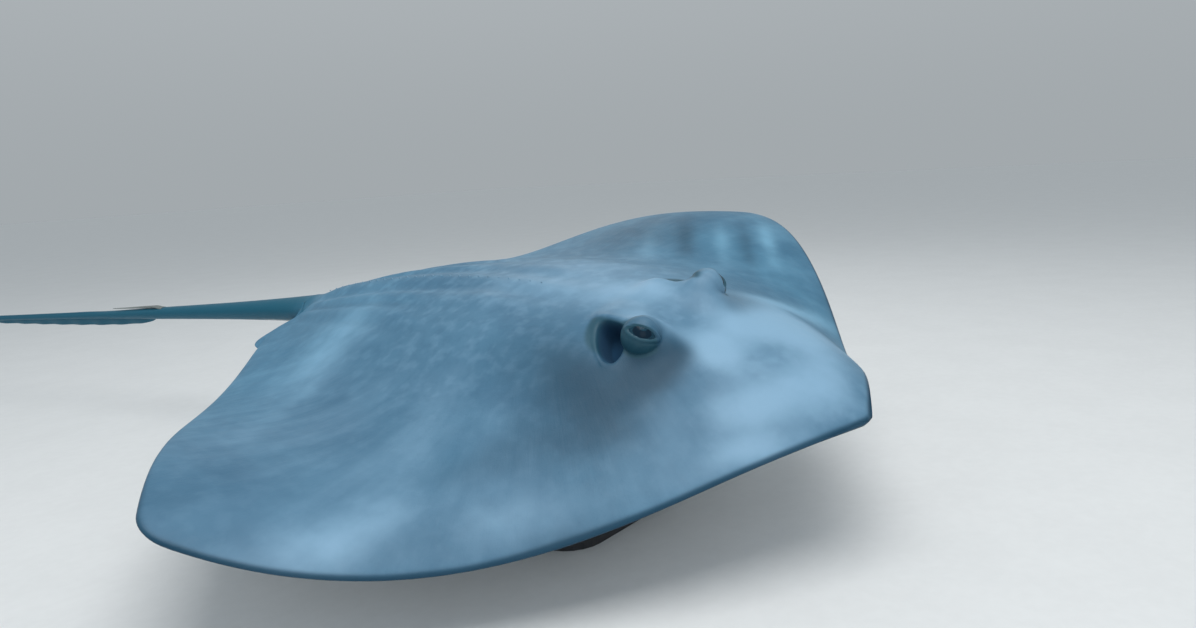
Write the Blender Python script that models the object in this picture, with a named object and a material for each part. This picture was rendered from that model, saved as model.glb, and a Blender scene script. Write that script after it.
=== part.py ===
"""Southern stingray, life size, gliding in a right-hand bank on a plain display stand.

The ray heads along -Y.  X points to the animal's left, +Z is up, and the origin is the middle of the
underside of the stand's base.  The body is one smooth form, parted by thin cuts into the pieces that a
person would name.  Every piece is described first on the flat, outspread animal (x to its left, y back
from the snout), then bent into its swimming pose, banked, and lifted onto the stand.
"""

import math

import bmesh
import bpy
import numpy as np
from mathutils import Matrix, Vector

# ---------------------------------------------------------------- driving dimensions (metres, radians)
DISC_WIDTH = 1.10
GAP = 0.0003                     # clear space between neighbouring pieces
SEAM_GAP = 0.0005                # the same along the curved seams of the wings
RIM = 0.0011                     # half the thickness of the disc at its very edge


def of_width(share):
    """A length given as a share of the disc's width, the usual measure of a ray."""
    return share * DISC_WIDTH


# Disc outline, seen from above
HALF_SPAN = of_width(0.5)
TIP_BACK = of_width(0.390)       # how far behind the snout the wing tips lie
CORNER_BACK = of_width(0.872)    # rear inner corners of the wings
CORNER_OUT = of_width(0.085)
CORNER_ROUND = of_width(0.020)
TAIL_ROOT_BACK = of_width(0.877)  # where the disc's rear edge meets the tail
TAIL_ROOT_HALF = of_width(0.029)
FRONT_BULGE = of_width(0.046)    # how far each margin bows out from a straight line
REAR_BULGE = of_width(0.025)
TIP_ROUND = of_width(0.040)
SNOUT_ROUND = of_width(0.012)

# Where the body is parted
HEAD_BACK = of_width(0.285)
TRUNK_BACK = TAIL_ROOT_BACK
TAIL_CUTS = [TAIL_ROOT_BACK] + [of_width(share) for share in (1.13, 1.42, 1.80, 2.30)]
TAIL_NAMES = ("tail_base", "tail_middle", "tail_whip_front", "tail_whip_end")

# Head
EYE_BACK = of_width(0.205)
EYE_OUT = of_width(0.064)
EYE_UP = of_width(0.0575)
EYE_RADIUS = of_width(0.0200)
BROW_OUT = of_width(0.055)
BROW_HEIGHT = of_width(0.022)
BROW_SPREAD = of_width(0.023)
SPIRACLE_BACK = of_width(0.243)
SPIRACLE_OUT = of_width(0.083)
SPIRACLE_UP = of_width(0.045)
SPIRACLE_SIZE = (of_width(0.022), of_width(0.023), of_width(0.016))
MOUTH_BACK = of_width(0.175)
MOUTH_HALF_WIDTH = of_width(0.042)
MOUTH_OPENING = 0.005
GILL_PAIRS = 5
GILL_FIRST_BACK = of_width(0.305)
GILL_STEP = of_width(0.031)
GILL_FIRST_OUT = of_width(0.105)
GILL_LAST_OUT = of_width(0.070)
GILL_LENGTH = of_width(0.030)
GILL_WIDTH = 0.0022
GILL_DEPTH = 0.006

# Pelvic fins
PELVIC_FRONT = of_width(0.800)
PELVIC_BACK = of_width(0.905)
PELVIC_IN = of_width(0.040)
PELVIC_OUT = of_width(0.128)
PELVIC_THICKNESS = 0.006
PELVIC_CLEAR = 0.0034            # below the disc's underside, to stay clear of its curve

# Tail spine and fin fold
SPINE_ROOT = of_width(1.205)
SPINE_LENGTH = of_width(0.120)
SPINE_HALF_WIDTH = of_width(0.0048)
SPINE_THICKNESS = of_width(0.0040)
SPINE_TEETH = 16
SPINE_CREST = 0.35               # width of its crest against its base
SPINE_NOTCH = 0.72               # width between two teeth against the width over them
SPINE_LIFT = 0.0010              # how far it lies off the tail, and how much more at its tip
SPINE_TIP_LIFT = 0.004
THINNEST = 0.0004
FOLD_FRONT = of_width(1.23)
FOLD_BACK = of_width(1.80)
FOLD_DEPTH = of_width(0.0150)
FOLD_THICKNESS = 0.0014

# Swimming pose
BANK = math.radians(14.5)        # right wing down
NOSE_DOWN = math.radians(3.0)
BODY_HEIGHT = 0.208              # of the body's pivot above the floor
PIVOT_BACK = of_width(0.45)
SNOUT_DROOP = of_width(0.035)
RUMP_DROOP = of_width(0.020)
TAIL_SWING = math.radians(15.5)  # the tail trails off to the right of the body's line
TAIL_SWING_START = of_width(0.84)
TAIL_SWING_EASE = of_width(0.05)
# Slope of each wing across the span: at its root, then at its tip, for the front, middle and rear
RIGHT_WING = tuple(math.radians(a) for a in (-4.0, -7.0, -8.0, -42.0, 21.0, 34.0))
LEFT_WING = tuple(math.radians(a) for a in (-56.0, 16.4, -20.0, 20.0, -16.3, -4.0))
WING_ROOT = 0.15                 # share of the half span that stays stiff
WING_EASE = 0.30                 # share over which the slope comes in

# Stand
BASE_LENGTH = 0.46
BASE_WIDTH = 0.34
BASE_THICKNESS = 0.018
BASE_CORNER = 0.045
BASE_CHAMFER = 0.003
ROD_RADIUS = 0.009
ROD_BACKS = {"stand_rod_front": of_width(0.33), "stand_rod_rear": of_width(0.62)}
ROD_REACH = 0.016                # how far each rod goes into the belly
COLLAR_RADIUS = 0.021
COLLAR_HEIGHT = 0.010


# ------------------------------------------------------------------------------- small mathematics
def ease(t):
    """Smooth step from 0 to 1."""
    t = np.clip(t, 0.0, 1.0)
    return t * t * (3.0 - 2.0 * t)


def through(stations, values, at):
    """A smooth curve without overshoot through a few stations (monotone cubic)."""
    x, y = np.asarray(stations, float), np.asarray(values, float)
    step = np.diff(x)
    rise = np.diff(y) / step
    slope = np.zeros_like(y)
    inner = rise[:-1] * rise[1:] > 0
    weight = (2 * step[1:] + step[:-1], step[1:] + 2 * step[:-1])
    safe = np.where(inner, rise[:-1], 1.0), np.where(inner, rise[1:], 1.0)
    mean = (weight[0] + weight[1]) / (weight[0] / safe[0] + weight[1] / safe[1])
    slope[1:-1] = np.where(inner, mean, 0.0)
    slope[0], slope[-1] = rise[0], rise[-1]
    at = np.clip(np.asarray(at, float), x[0], x[-1])
    i = np.clip(np.searchsorted(x, at) - 1, 0, len(step) - 1)
    t = (at - x[i]) / step[i]
    h = step[i]
    return ((1 + 2 * t) * (1 - t) ** 2 * y[i] + t * (1 - t) ** 2 * h * slope[i]
            + t * t * (3 - 2 * t) * y[i + 1] + t * t * (t - 1) * h * slope[i + 1])


def bowed(start, end, bulge, count):
    """Points from start to end on a parabola that bows outwards by bulge."""
    t = np.linspace(0.0, 1.0, count)[:, None]
    start, end = np.array(start), np.array(end)
    run = end - start
    out = np.array([run[1], -run[0]]) / np.linalg.norm(run)
    return start + run * t + out * (4 * bulge * t * (1 - t))


def rounded(before, after, reach, count=12):
    """Joins two lines that meet in a corner by a curve that starts and ends at reach from it."""
    corner = after[0]
    into = np.linalg.norm(before - corner, axis=1)
    out = np.linalg.norm(after - corner, axis=1)
    head, tail = before[into > reach], after[out > reach]
    t = np.linspace(0.0, 1.0, count)[1:-1, None]
    arc = (1 - t) ** 2 * head[-1] + 2 * t * (1 - t) * corner + t * t * tail[0]
    return np.vstack([head, arc, tail])


# ------------------------------------------------------------------------------------- disc outline
def disc_margin():
    """The left half of the disc's edge, from the snout round the wing tip to the tail root."""
    front = bowed((0.0, 0.0), (HALF_SPAN, TIP_BACK), FRONT_BULGE, 80)
    rear = bowed((HALF_SPAN, TIP_BACK), (CORNER_OUT, CORNER_BACK), REAR_BULGE, 80)
    inner = bowed((CORNER_OUT, CORNER_BACK), (TAIL_ROOT_HALF, TAIL_ROOT_BACK), 0.0, 24)
    margin = rounded(rounded(front, rear, TIP_ROUND), inner, CORNER_ROUND)
    margin[:, 0] *= HALF_SPAN / margin[:, 0].max()
    return margin


MARGIN = disc_margin()
TIP_INDEX = int(np.argmax(MARGIN[:, 0]))
TAIL_SIDE = np.array([MARGIN[-1], (TAIL_ROOT_HALF, of_width(1.2))])


def reach(y):
    """Half width of the disc at a distance y behind the snout."""
    out = np.interp(y, MARGIN[:, 1], MARGIN[:, 0])
    return np.sqrt(out ** 2 + 2 * SNOUT_ROUND * np.clip(y, 0, None) * np.exp(-y / SNOUT_ROUND))


def edge_distance(points, line):
    """Shortest distance from each point to a line of straight segments."""
    a, b = line[:-1], line[1:]
    run = b - a
    t = ((points[:, None] - a) * run).sum(-1) / (run * run).sum(-1)
    foot = a + run * np.clip(t, 0, 1)[..., None]
    return np.sqrt(((points[:, None] - foot) ** 2).sum(-1)).min(1)


def inside_distance(x, y):
    """Distance from the edge in plan, front and rear margins blended so that no crease forms."""
    near = np.stack([np.abs(x), y], -1)
    far = np.stack([-np.abs(x), y], -1)
    front, rear = MARGIN[:TIP_INDEX + 1], np.vstack([MARGIN[TIP_INDEX:], TAIL_SIDE[1:]])
    parts = [edge_distance(p, line) for p in (near, far) for line in (front, rear)]
    return sum(np.maximum(part, 1e-5) ** -4.0 for part in parts) ** -0.25


# -------------------------------------------------------------------------------- body cross sections
STATIONS = [of_width(s) for s in (0.0, 0.06, 0.12, 0.18, 0.24, 0.32, 0.42, 0.55, 0.68, 0.78, 0.87)]
BACK_HEIGHT = [of_width(s) for s in
               (0.003, 0.012, 0.024, 0.037, 0.046, 0.052, 0.054, 0.049, 0.038, 0.027, 0.0165)]
BELLY_DEPTH = [of_width(s) for s in
               (0.002, 0.008, 0.016, 0.024, 0.028, 0.031, 0.032, 0.030, 0.024, 0.017, 0.0130)]
BODY_HALF = [of_width(s) for s in
             (0.090, 0.100, 0.115, 0.130, 0.145, 0.160, 0.165, 0.150, 0.112, 0.070, 0.036)]
FLESH = of_width(0.012)          # half thickness that the wing tends to away from its edge
FLESH_SLOPE = 0.055
EDGE_ROUND = of_width(0.0008)

TAIL_STATIONS = [of_width(s) for s in (0.877, 0.95, 1.05, 1.15, 1.25, 1.33, 1.45, 1.80, 2.30)]
TAIL_HALF_WIDTH = [of_width(s) for s in
                   (0.0290, 0.0215, 0.0162, 0.0132, 0.0108, 0.0085, 0.0062, 0.0040, 0.0014)]
TAIL_HALF_HEIGHT = [of_width(s) for s in
                    (0.0205, 0.0172, 0.0138, 0.0114, 0.0092, 0.0070, 0.0052, 0.0035, 0.0013)]


def heights(x, y):
    """Height of the back and depth of the belly over the disc's middle surface."""
    depth = inside_distance(x, y)
    thin = FLESH * (1 - np.exp(-(np.sqrt(2 * EDGE_ROUND * depth) + FLESH_SLOPE * depth) / FLESH))
    bell = np.exp(-0.9 * (np.abs(x) / through(STATIONS, BODY_HALF, y)) ** 2.4)
    fade = 1 - np.exp(-depth / of_width(0.02))
    top = RIM + thin + through(STATIONS, BACK_HEIGHT, y) * bell * fade
    low = RIM + 0.8 * thin + through(STATIONS, BELLY_DEPTH, y) * bell * fade
    across = (np.abs(x) - BROW_OUT) / BROW_SPREAD
    along = (y - EYE_BACK) / (BROW_SPREAD * 1.25)
    return top + BROW_HEIGHT * np.exp(-across ** 2 - along ** 2), low


# ------------------------------------------------------------------------------------ swimming pose
def wing_slope(share, chord, wing):
    """Upward slope of a wing at a share of its half span, for chord +1 in front to -1 behind."""
    stiff = WING_ROOT * (1 - np.clip((chord - 0.1) / 0.9, 0, 1) ** 1.5)
    out = np.clip((share - stiff) / (1 - stiff), 0, 1)
    reach_of = 0.7

    def blend(front, middle, rear):
        lean = (front - rear) / (2 * reach_of)
        bow = ((front + rear) / 2 - middle) / reach_of ** 2
        return middle + chord * lean + chord * chord * bow

    root, tip = blend(*wing[:3]), blend(*wing[3:])
    return ease(out / WING_EASE) * (root + (tip - root) * ease(out))


def pose(x, y, z):
    """Moves points of the outspread animal to their place in the swimming animal."""
    x, y, z = (np.atleast_1d(np.asarray(v, float)) for v in (x, y, z))
    x, y, z = np.broadcast_arrays(x, y, z)
    steps = (np.arange(24) + 0.5) / 24
    chord = np.clip((TIP_BACK - y) / of_width(0.44), -1, 1)
    share = np.abs(x) / HALF_SPAN
    across, up = np.zeros_like(x), np.zeros_like(x)
    for side, wing in ((1, LEFT_WING), (-1, RIGHT_WING)):
        mine = x * side >= 0 if side > 0 else x < 0
        slope = wing_slope(share[mine][:, None] * steps, chord[mine][:, None], wing)
        here = wing_slope(share[mine], chord[mine], wing)
        along = np.abs(x[mine])
        across[mine] = side * (np.cos(slope).mean(-1) * along - np.sin(here) * z[mine])
        up[mine] = np.sin(slope).mean(-1) * along + np.cos(here) * z[mine]
    fore = np.clip((of_width(0.30) - y) / of_width(0.30), 0, 1)
    aft = np.clip((y - of_width(0.45)) / of_width(0.42), 0, None)
    up = up - SNOUT_DROOP * fore ** 2 - RUMP_DROOP * np.where(aft < 1, aft ** 2, 2 * aft - 1)
    behind = np.clip(y - TAIL_SWING_START, 0, None)
    swing = math.tan(TAIL_SWING) * (np.hypot(behind, TAIL_SWING_EASE) - TAIL_SWING_EASE)
    # The tail swings level with the ground, so it rises in the banked body as it goes to the right
    return np.stack([across - swing, y, up + swing * math.tan(BANK)], -1)


PLACE = (Matrix.Translation((0.0, 0.0, BODY_HEIGHT)) @ Matrix.Rotation(NOSE_DOWN, 4, "X")
         @ Matrix.Rotation(-BANK, 4, "Y") @ Matrix.Translation((0.0, -PIVOT_BACK, 0.0)))


def to_world(points):
    """Banks the posed animal and lifts it onto the stand."""
    turn = np.array(PLACE)
    return points @ turn[:3, :3].T + turn[:3, 3]


def on_ray(x, y, z):
    """World place of one point of the outspread animal."""
    return Vector(to_world(pose(x, y, z))[0])


# ---------------------------------------------------------------------------------------- materials
def material(name, colour, roughness, metallic=0.0):
    """A plain Principled material."""
    made = bpy.data.materials.new(name)
    made.use_nodes = True
    shader = made.node_tree.nodes["Principled BSDF"]
    shader.inputs["Base Color"].default_value = (*colour, 1.0)
    shader.inputs["Roughness"].default_value = roughness
    shader.inputs["Metallic"].default_value = metallic
    return made


SKIN = (0.105, 0.215, 0.320)
SKIN_HEAD = (0.190, 0.330, 0.460)
SKIN_TAIL = (0.030, 0.130, 0.170)
HORN = (0.42, 0.38, 0.30)
EYE_DARK = (0.010, 0.030, 0.050)
STAND_PAINT = (0.030, 0.032, 0.035)
STAND_STEEL = (0.560, 0.570, 0.580)


# ------------------------------------------------------------------------------------- mesh helpers
def add_object(name, verts, faces, finish, smooth=True):
    """Makes one closed, outward-facing mesh object."""
    mesh = bpy.data.meshes.new(name)
    mesh.from_pydata([tuple(v) for v in verts], [], faces)
    work = bmesh.new()
    work.from_mesh(mesh)
    bmesh.ops.remove_doubles(work, verts=work.verts, dist=1e-6)
    bmesh.ops.triangulate(work, faces=work.faces)
    bmesh.ops.recalc_face_normals(work, faces=work.faces)
    work.to_mesh(mesh)
    work.free()
    if smooth:
        mesh.shade_smooth()
        mesh.set_sharp_from_angle(angle=math.radians(40))
    mesh.materials.append(finish)
    made = bpy.data.objects.new(name, mesh)
    bpy.context.scene.collection.objects.link(made)
    return made


def slab(name, rows, inner, outer, shares, finish, surface=heights):
    """A closed piece of the body between two fore-and-aft lines, back and belly sheets and walls."""
    rows = np.asarray(rows)
    start, end = inner(rows), outer(rows)
    x = start[:, None] + (end - start)[:, None] * np.asarray(shares)
    y = np.repeat(rows[:, None], len(shares), 1)
    top, low = surface(x.ravel(), y.ravel())
    upper = to_world(pose(x.ravel(), y.ravel(), top))
    under = to_world(pose(x.ravel(), y.ravel(), -low))
    count, wide = x.shape
    return add_object(name, np.vstack([upper, under]), shell_faces(count, wide), finish)


def shell_faces(count, wide):
    """Faces of two grids of count by wide points, joined all round by walls."""
    at = lambda i, j, sheet: sheet * count * wide + i * wide + j
    faces = []
    for i in range(count - 1):
        for j in range(wide - 1):
            square = [(i, j), (i, j + 1), (i + 1, j + 1), (i + 1, j)]
            faces.append([at(*p, 0) for p in square])
            faces.append([at(*p, 1) for p in reversed(square)])
    rim = ([(0, j) for j in range(wide)] + [(i, wide - 1) for i in range(1, count)]
           + [(count - 1, j) for j in range(wide - 2, -1, -1)] + [(i, 0) for i in range(count - 2, 0, -1)])
    for here, there in zip(rim, rim[1:] + rim[:1]):
        a, b, c, d = at(*here, 0), at(*here, 1), at(*there, 1), at(*there, 0)
        # The diagonal always falls from the lower-numbered row, so that neighbours' walls match
        faces += [[a, b, c], [a, c, d]] if here < there else [[a, b, d], [b, c, d]]
    return faces


def tube(name, rings, finish):
    """A closed skin over rings of equal point count, with a point at each end's middle."""
    rings = np.asarray(rings)
    count, around = rings.shape[:2]
    verts = np.vstack([rings.reshape(-1, 3), rings[0].mean(0), rings[-1].mean(0)])
    faces = []
    for i in range(count - 1):
        for j in range(around):
            k = (j + 1) % around
            faces.append([i * around + j, i * around + k, (i + 1) * around + k, (i + 1) * around + j])
    last = (count - 1) * around
    for j in range(around):
        k = (j + 1) % around
        faces.append([count * around, k, j])
        faces.append([count * around + 1, last + j, last + k])
    return add_object(name, verts, faces, finish)


def cutter(made):
    """Turns an object into a hidden cutting tool."""
    made.hide_render = True
    made.display_type = "WIRE"
    return made


def cut(target, tool):
    """Takes the tool's space out of the target."""
    step = target.modifiers.new(tool.name, "BOOLEAN")
    step.operation = "DIFFERENCE"
    step.solver = "EXACT"
    step.object = tool


def ball(name, centre, radii, finish, rings=9, around=14, turn=None):
    """An ellipsoid with its poles along its own Z."""
    mesh = bpy.data.meshes.new(name)
    work = bmesh.new()
    bmesh.ops.create_uvsphere(work, u_segments=around, v_segments=rings, radius=1.0)
    scale = Matrix.Diagonal((*radii, 1.0))
    spin = turn.to_4x4() if turn else Matrix.Identity(4)
    bmesh.ops.transform(work, matrix=Matrix.Translation(centre) @ spin @ scale, verts=work.verts)
    bmesh.ops.triangulate(work, faces=work.faces)
    work.to_mesh(mesh)
    work.free()
    mesh.shade_smooth()
    mesh.materials.append(finish)
    made = bpy.data.objects.new(name, mesh)
    bpy.context.scene.collection.objects.link(made)
    return made


# --------------------------------------------------------------------------------------- body pieces
def seam(y):
    """Half width of the central body, where the pectoral fins join it."""
    line = through([of_width(s) for s in (0.0, 0.10, 0.30, 0.50, 0.75, 0.877)],
                   [of_width(s) for s in (0.118, 0.125, 0.150, 0.145, 0.095, 0.060)], y)
    return line


def central(y):
    """Outer line of the head and trunk: the disc's edge in front, then the seam."""
    return np.minimum(reach(y), seam(y) - SEAM_GAP / 2)


def wing_start():
    """How far behind the snout the disc first grows wider than the central body."""
    y = np.linspace(of_width(0.06), of_width(0.20), 400)
    return y[np.argmax(reach(y) > seam(y))]


def wing_end():
    """How far behind the snout the disc is again no wider than the central body."""
    y = np.linspace(of_width(0.80), TRUNK_BACK, 800)
    return y[np.argmax(reach(y) < seam(y) + 0.004)]


WING_START = wing_start()
WING_END = wing_end()
SNOUT_ROWS = [of_width(s) for s in (0.0015, 0.008, 0.022, 0.044, 0.070, 0.093)]
HEAD_ROWS = np.concatenate([SNOUT_ROWS, [WING_START, WING_START + 0.002],
                            np.linspace(of_width(0.124), HEAD_BACK, 13)])


def trunk_rows():
    """Rows from the head to the tail root, closest together where the wing tips turn."""
    before = TIP_BACK - (TIP_BACK - HEAD_BACK) * np.linspace(1.0, 0.0, 7) ** 1.6
    after = TIP_BACK + (of_width(0.850) - TIP_BACK) * np.linspace(0.0, 1.0, 14)[1:] ** 1.35
    last = [of_width(0.862), of_width(0.869), WING_END, TRUNK_BACK]
    return np.concatenate([before, after, last])


TRUNK_ROWS = trunk_rows()
HEAD_SHARES = np.array([0.0, 0.15, 0.28, 0.39, 0.49, 0.60, 0.72, 0.85, 1.0])
TRUNK_SHARES = np.array([0.0, 0.16, 0.32, 0.48, 0.65, 0.82, 1.0])
WING_SHARES = 1 - (1 - np.linspace(0.0, 1.0, 11)) ** 1.35


def both_sides(shares):
    """Shares of the half width, running from the right edge to the left one."""
    return np.concatenate([-np.flip(shares[1:]), shares])


def make_head(finish):
    """Snout, brows and cheeks, back to just behind the spiracles."""
    rows = np.append(HEAD_ROWS[:-1], HEAD_BACK - GAP / 2)
    return slab("head", rows, lambda y: 0 * y, central, both_sides(HEAD_SHARES), finish)


def make_trunk(finish):
    """Back and belly from behind the head to the tail root."""
    rows = np.concatenate([[HEAD_BACK + GAP / 2], TRUNK_ROWS[1:-1], [TRUNK_BACK - GAP / 2]])
    return slab("trunk", rows, lambda y: 0 * y, central, both_sides(TRUNK_SHARES), finish)


def make_pectoral(name, side, finish):
    """One wing, from the seam to the disc's edge."""
    ahead = HEAD_ROWS[HEAD_ROWS > WING_START + 0.001]
    rows = np.concatenate([ahead, TRUNK_ROWS[1:-1]])
    return slab(name, rows, lambda y: side * (seam(y) + SEAM_GAP / 2), lambda y: side * reach(y),
                WING_SHARES, finish)


def pelvic_surface(side):
    """Thickness of a pelvic fin, which lies just under the disc's rear edge."""
    def surface(x, y):
        out = np.abs(x)
        across = (out - PELVIC_IN) / (PELVIC_OUT - PELVIC_IN)
        along = (y - PELVIC_FRONT) / (PELVIC_BACK - PELVIC_FRONT)
        rim = np.clip(1 - np.abs(2 * along - 1) ** 4, 0, 1) * np.clip(1.15 - across, 0, 1)
        half = 0.0008 + PELVIC_THICKNESS / 2 * np.sqrt(np.clip(rim, 0, 1))
        _, belly = heights(x, np.minimum(y, TRUNK_BACK))
        drop = belly + PELVIC_CLEAR + half
        return half - drop, half + drop
    return surface


def make_pelvic(name, side, finish):
    """One rounded pelvic fin beside the tail root."""
    rows = PELVIC_FRONT + (PELVIC_BACK - PELVIC_FRONT) * (1 - np.cos(np.linspace(0, math.pi, 10))) / 2
    middle, half = (PELVIC_FRONT + PELVIC_BACK) / 2, (PELVIC_BACK - PELVIC_FRONT) / 2

    def outer(y):
        bow = np.sqrt(np.clip(1 - ((y - middle) / (half * 1.02)) ** 2, 0, 1))
        return side * (PELVIC_IN + 0.004 + (PELVIC_OUT - PELVIC_IN) * bow)

    return slab(name, rows, lambda y: side * (PELVIC_IN + 0 * y), outer, np.linspace(0, 1, 6),
                finish, pelvic_surface(side))


def tail_ring(y, around=12):
    """One oval ring round the tail."""
    turn = np.linspace(0, 2 * math.pi, around, endpoint=False)
    wide = through(TAIL_STATIONS, TAIL_HALF_WIDTH, y)
    high = through(TAIL_STATIONS, TAIL_HALF_HEIGHT, y)
    return to_world(pose(wide * np.cos(turn), y, high * np.sin(turn)))


def make_tail(finish):
    """The tail in four lengths."""
    made = []
    for name, front, back in zip(TAIL_NAMES, TAIL_CUTS, TAIL_CUTS[1:]):
        places = np.linspace(front + GAP / 2, back - GAP / 2, 8)
        made.append(tube(name, [tail_ring(y) for y in places], finish))
    return made


def tail_top(y):
    """Height of the tail's upper side."""
    return through(TAIL_STATIONS, TAIL_HALF_HEIGHT, y)


def make_spine(finish):
    """The saw-edged spine that lies along the top of the tail."""
    count = 2 * SPINE_TEETH + 1
    rings = []
    for i in range(count):
        t = i / (count - 1)
        y = SPINE_ROOT + SPINE_LENGTH * t
        taper = (1 - t) ** 0.6
        tooth = 1.0 if i % 2 == 0 else SPINE_NOTCH
        wide = max(SPINE_HALF_WIDTH * taper * tooth, THINNEST)
        thick = max(SPINE_THICKNESS * (1 - 0.75 * t), 2 * THINNEST)
        base = tail_top(y) + SPINE_LIFT + SPINE_TIP_LIFT * t
        x = wide * np.array([-1.0, 1.0, SPINE_CREST, -SPINE_CREST])
        z = base + thick * np.array([0.0, 0.0, 1.0, 1.0])
        rings.append(to_world(pose(x, y, z)))
    return tube("tail_spine", rings, finish)


def make_fold(finish):
    """The long fin fold under the tail, behind the spine's root."""
    places = np.linspace(FOLD_FRONT, FOLD_BACK, 17)
    rings = []
    for y in places:
        t = (y - FOLD_FRONT) / (FOLD_BACK - FOLD_FRONT)
        swell = max(math.sin(math.pi * t ** 0.6), 0.0) ** 0.8 * (1 - 0.45 * t)
        deep = FOLD_THICKNESS + FOLD_DEPTH * swell
        half = FOLD_THICKNESS / 2
        top = -tail_top(y) - GAP
        x = np.array([-half, half, half * 0.6, -half * 0.6])
        z = np.array([top, top, top - deep, top - deep])
        rings.append(to_world(pose(x, y, z)))
    return tube("tail_fold", rings, finish)


def make_eyes(head, finish):
    """Two eyeballs in sockets in the sides of the brows."""
    made = []
    for name, side in (("eye_left", 1), ("eye_right", -1)):
        centre = on_ray(side * EYE_OUT, EYE_BACK, EYE_UP)
        made.append(ball(name, centre, (EYE_RADIUS,) * 3, finish))
        socket = ball(f"{name}_socket", centre, (EYE_RADIUS + GAP * 2,) * 3, finish)
        cut(head, cutter(socket))
    return made


def cut_spiracles(head, finish):
    """The breathing holes behind the eyes."""
    for name, side in (("spiracle_left", 1), ("spiracle_right", -1)):
        centre = on_ray(side * SPIRACLE_OUT, SPIRACLE_BACK, SPIRACLE_UP)
        turn = PLACE.to_3x3() @ Matrix.Rotation(side * math.radians(38), 3, "Y")
        cut(head, cutter(ball(name, centre, SPIRACLE_SIZE, finish, rings=8, around=12, turn=turn)))


def bar(name, centre, size, turn, finish):
    """A rectangular bar."""
    mesh = bpy.data.meshes.new(name)
    work = bmesh.new()
    bmesh.ops.create_cube(work, size=1.0)
    matrix = Matrix.Translation(centre) @ turn.to_4x4() @ Matrix.Diagonal((*size, 1.0))
    bmesh.ops.transform(work, matrix=matrix, verts=work.verts)
    work.to_mesh(mesh)
    work.free()
    mesh.materials.append(finish)
    made = bpy.data.objects.new(name, mesh)
    bpy.context.scene.collection.objects.link(made)
    return made


def cut_mouth(head, finish):
    """The narrow mouth on the underside."""
    _, low = heights(np.array([0.0]), np.array([MOUTH_BACK]))
    centre = on_ray(0.0, MOUTH_BACK, -low[0])
    size = (2 * MOUTH_HALF_WIDTH, MOUTH_OPENING, 0.020)
    cut(head, cutter(bar("mouth", centre, size, PLACE.to_3x3(), finish)))


def cut_gills(trunk, finish):
    """Five short slits on each side of the belly."""
    for i in range(GILL_PAIRS):
        t = i / (GILL_PAIRS - 1)
        out = GILL_FIRST_OUT + (GILL_LAST_OUT - GILL_FIRST_OUT) * t
        y = GILL_FIRST_BACK + GILL_STEP * i
        for side in (1, -1):
            _, low = heights(np.array([out]), np.array([y]))
            centre = on_ray(side * out, y, -low[0])
            turn = PLACE.to_3x3() @ Matrix.Rotation(side * math.radians(-14 + 22 * t), 3, "Z")
            name = f"gill_{i + 1}_{'left' if side > 0 else 'right'}"
            size = (GILL_LENGTH, GILL_WIDTH, 2 * GILL_DEPTH)
            cut(trunk, cutter(bar(name, centre, size, turn, finish)))


# --------------------------------------------------------------------------------------------- stand
def turned(name, centre, profile, finish, around=16):
    """A round piece turned about a vertical axis, from a list of (radius, height) steps."""
    turn = np.linspace(0, 2 * math.pi, around, endpoint=False)
    rings = [np.stack([centre[0] + r * np.cos(turn), centre[1] + r * np.sin(turn), 0 * turn + z], -1)
             for r, z in profile]
    return tube(name, rings, finish)


def make_base(finish):
    """The flat base, a plate with round corners and a chamfered top edge."""
    def outline(inset, z):
        points = []
        radius = BASE_CORNER - inset
        for corner, (sx, sy) in enumerate(((1, 1), (-1, 1), (-1, -1), (1, -1))):
            middle = (sx * (BASE_WIDTH / 2 - BASE_CORNER), sy * (BASE_LENGTH / 2 - BASE_CORNER))
            for step in range(7):
                angle = math.radians(90 * corner + 15 * step)
                points.append((middle[0] + radius * math.cos(angle),
                               middle[1] + radius * math.sin(angle), z))
        return points

    top = BASE_THICKNESS
    rings = [outline(0.0, 0.0), outline(0.0, top - BASE_CHAMFER), outline(BASE_CHAMFER, top)]
    return tube("stand_base", rings, finish)


def make_rods(trunk, finish):
    """Two upright rods with a collar on the base, let into the belly."""
    for name, back in ROD_BACKS.items():
        _, low = heights(np.array([0.0]), np.array([back]))
        belly = on_ray(0.0, back, -low[0])
        foot, top = BASE_THICKNESS + GAP, belly.z + ROD_REACH
        profile = [(COLLAR_RADIUS, foot), (COLLAR_RADIUS, foot + COLLAR_HEIGHT - 0.002),
                   (COLLAR_RADIUS - 0.002, foot + COLLAR_HEIGHT), (ROD_RADIUS, foot + COLLAR_HEIGHT),
                   (ROD_RADIUS, top - 0.001), (ROD_RADIUS - 0.001, top)]
        turned(name, (belly.x, belly.y), profile, finish)
        bore = [(ROD_RADIUS + GAP, belly.z - 0.05), (ROD_RADIUS + GAP, top + GAP)]
        cut(trunk, cutter(turned(f"{name}_bore", (belly.x, belly.y), bore, finish)))


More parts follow.
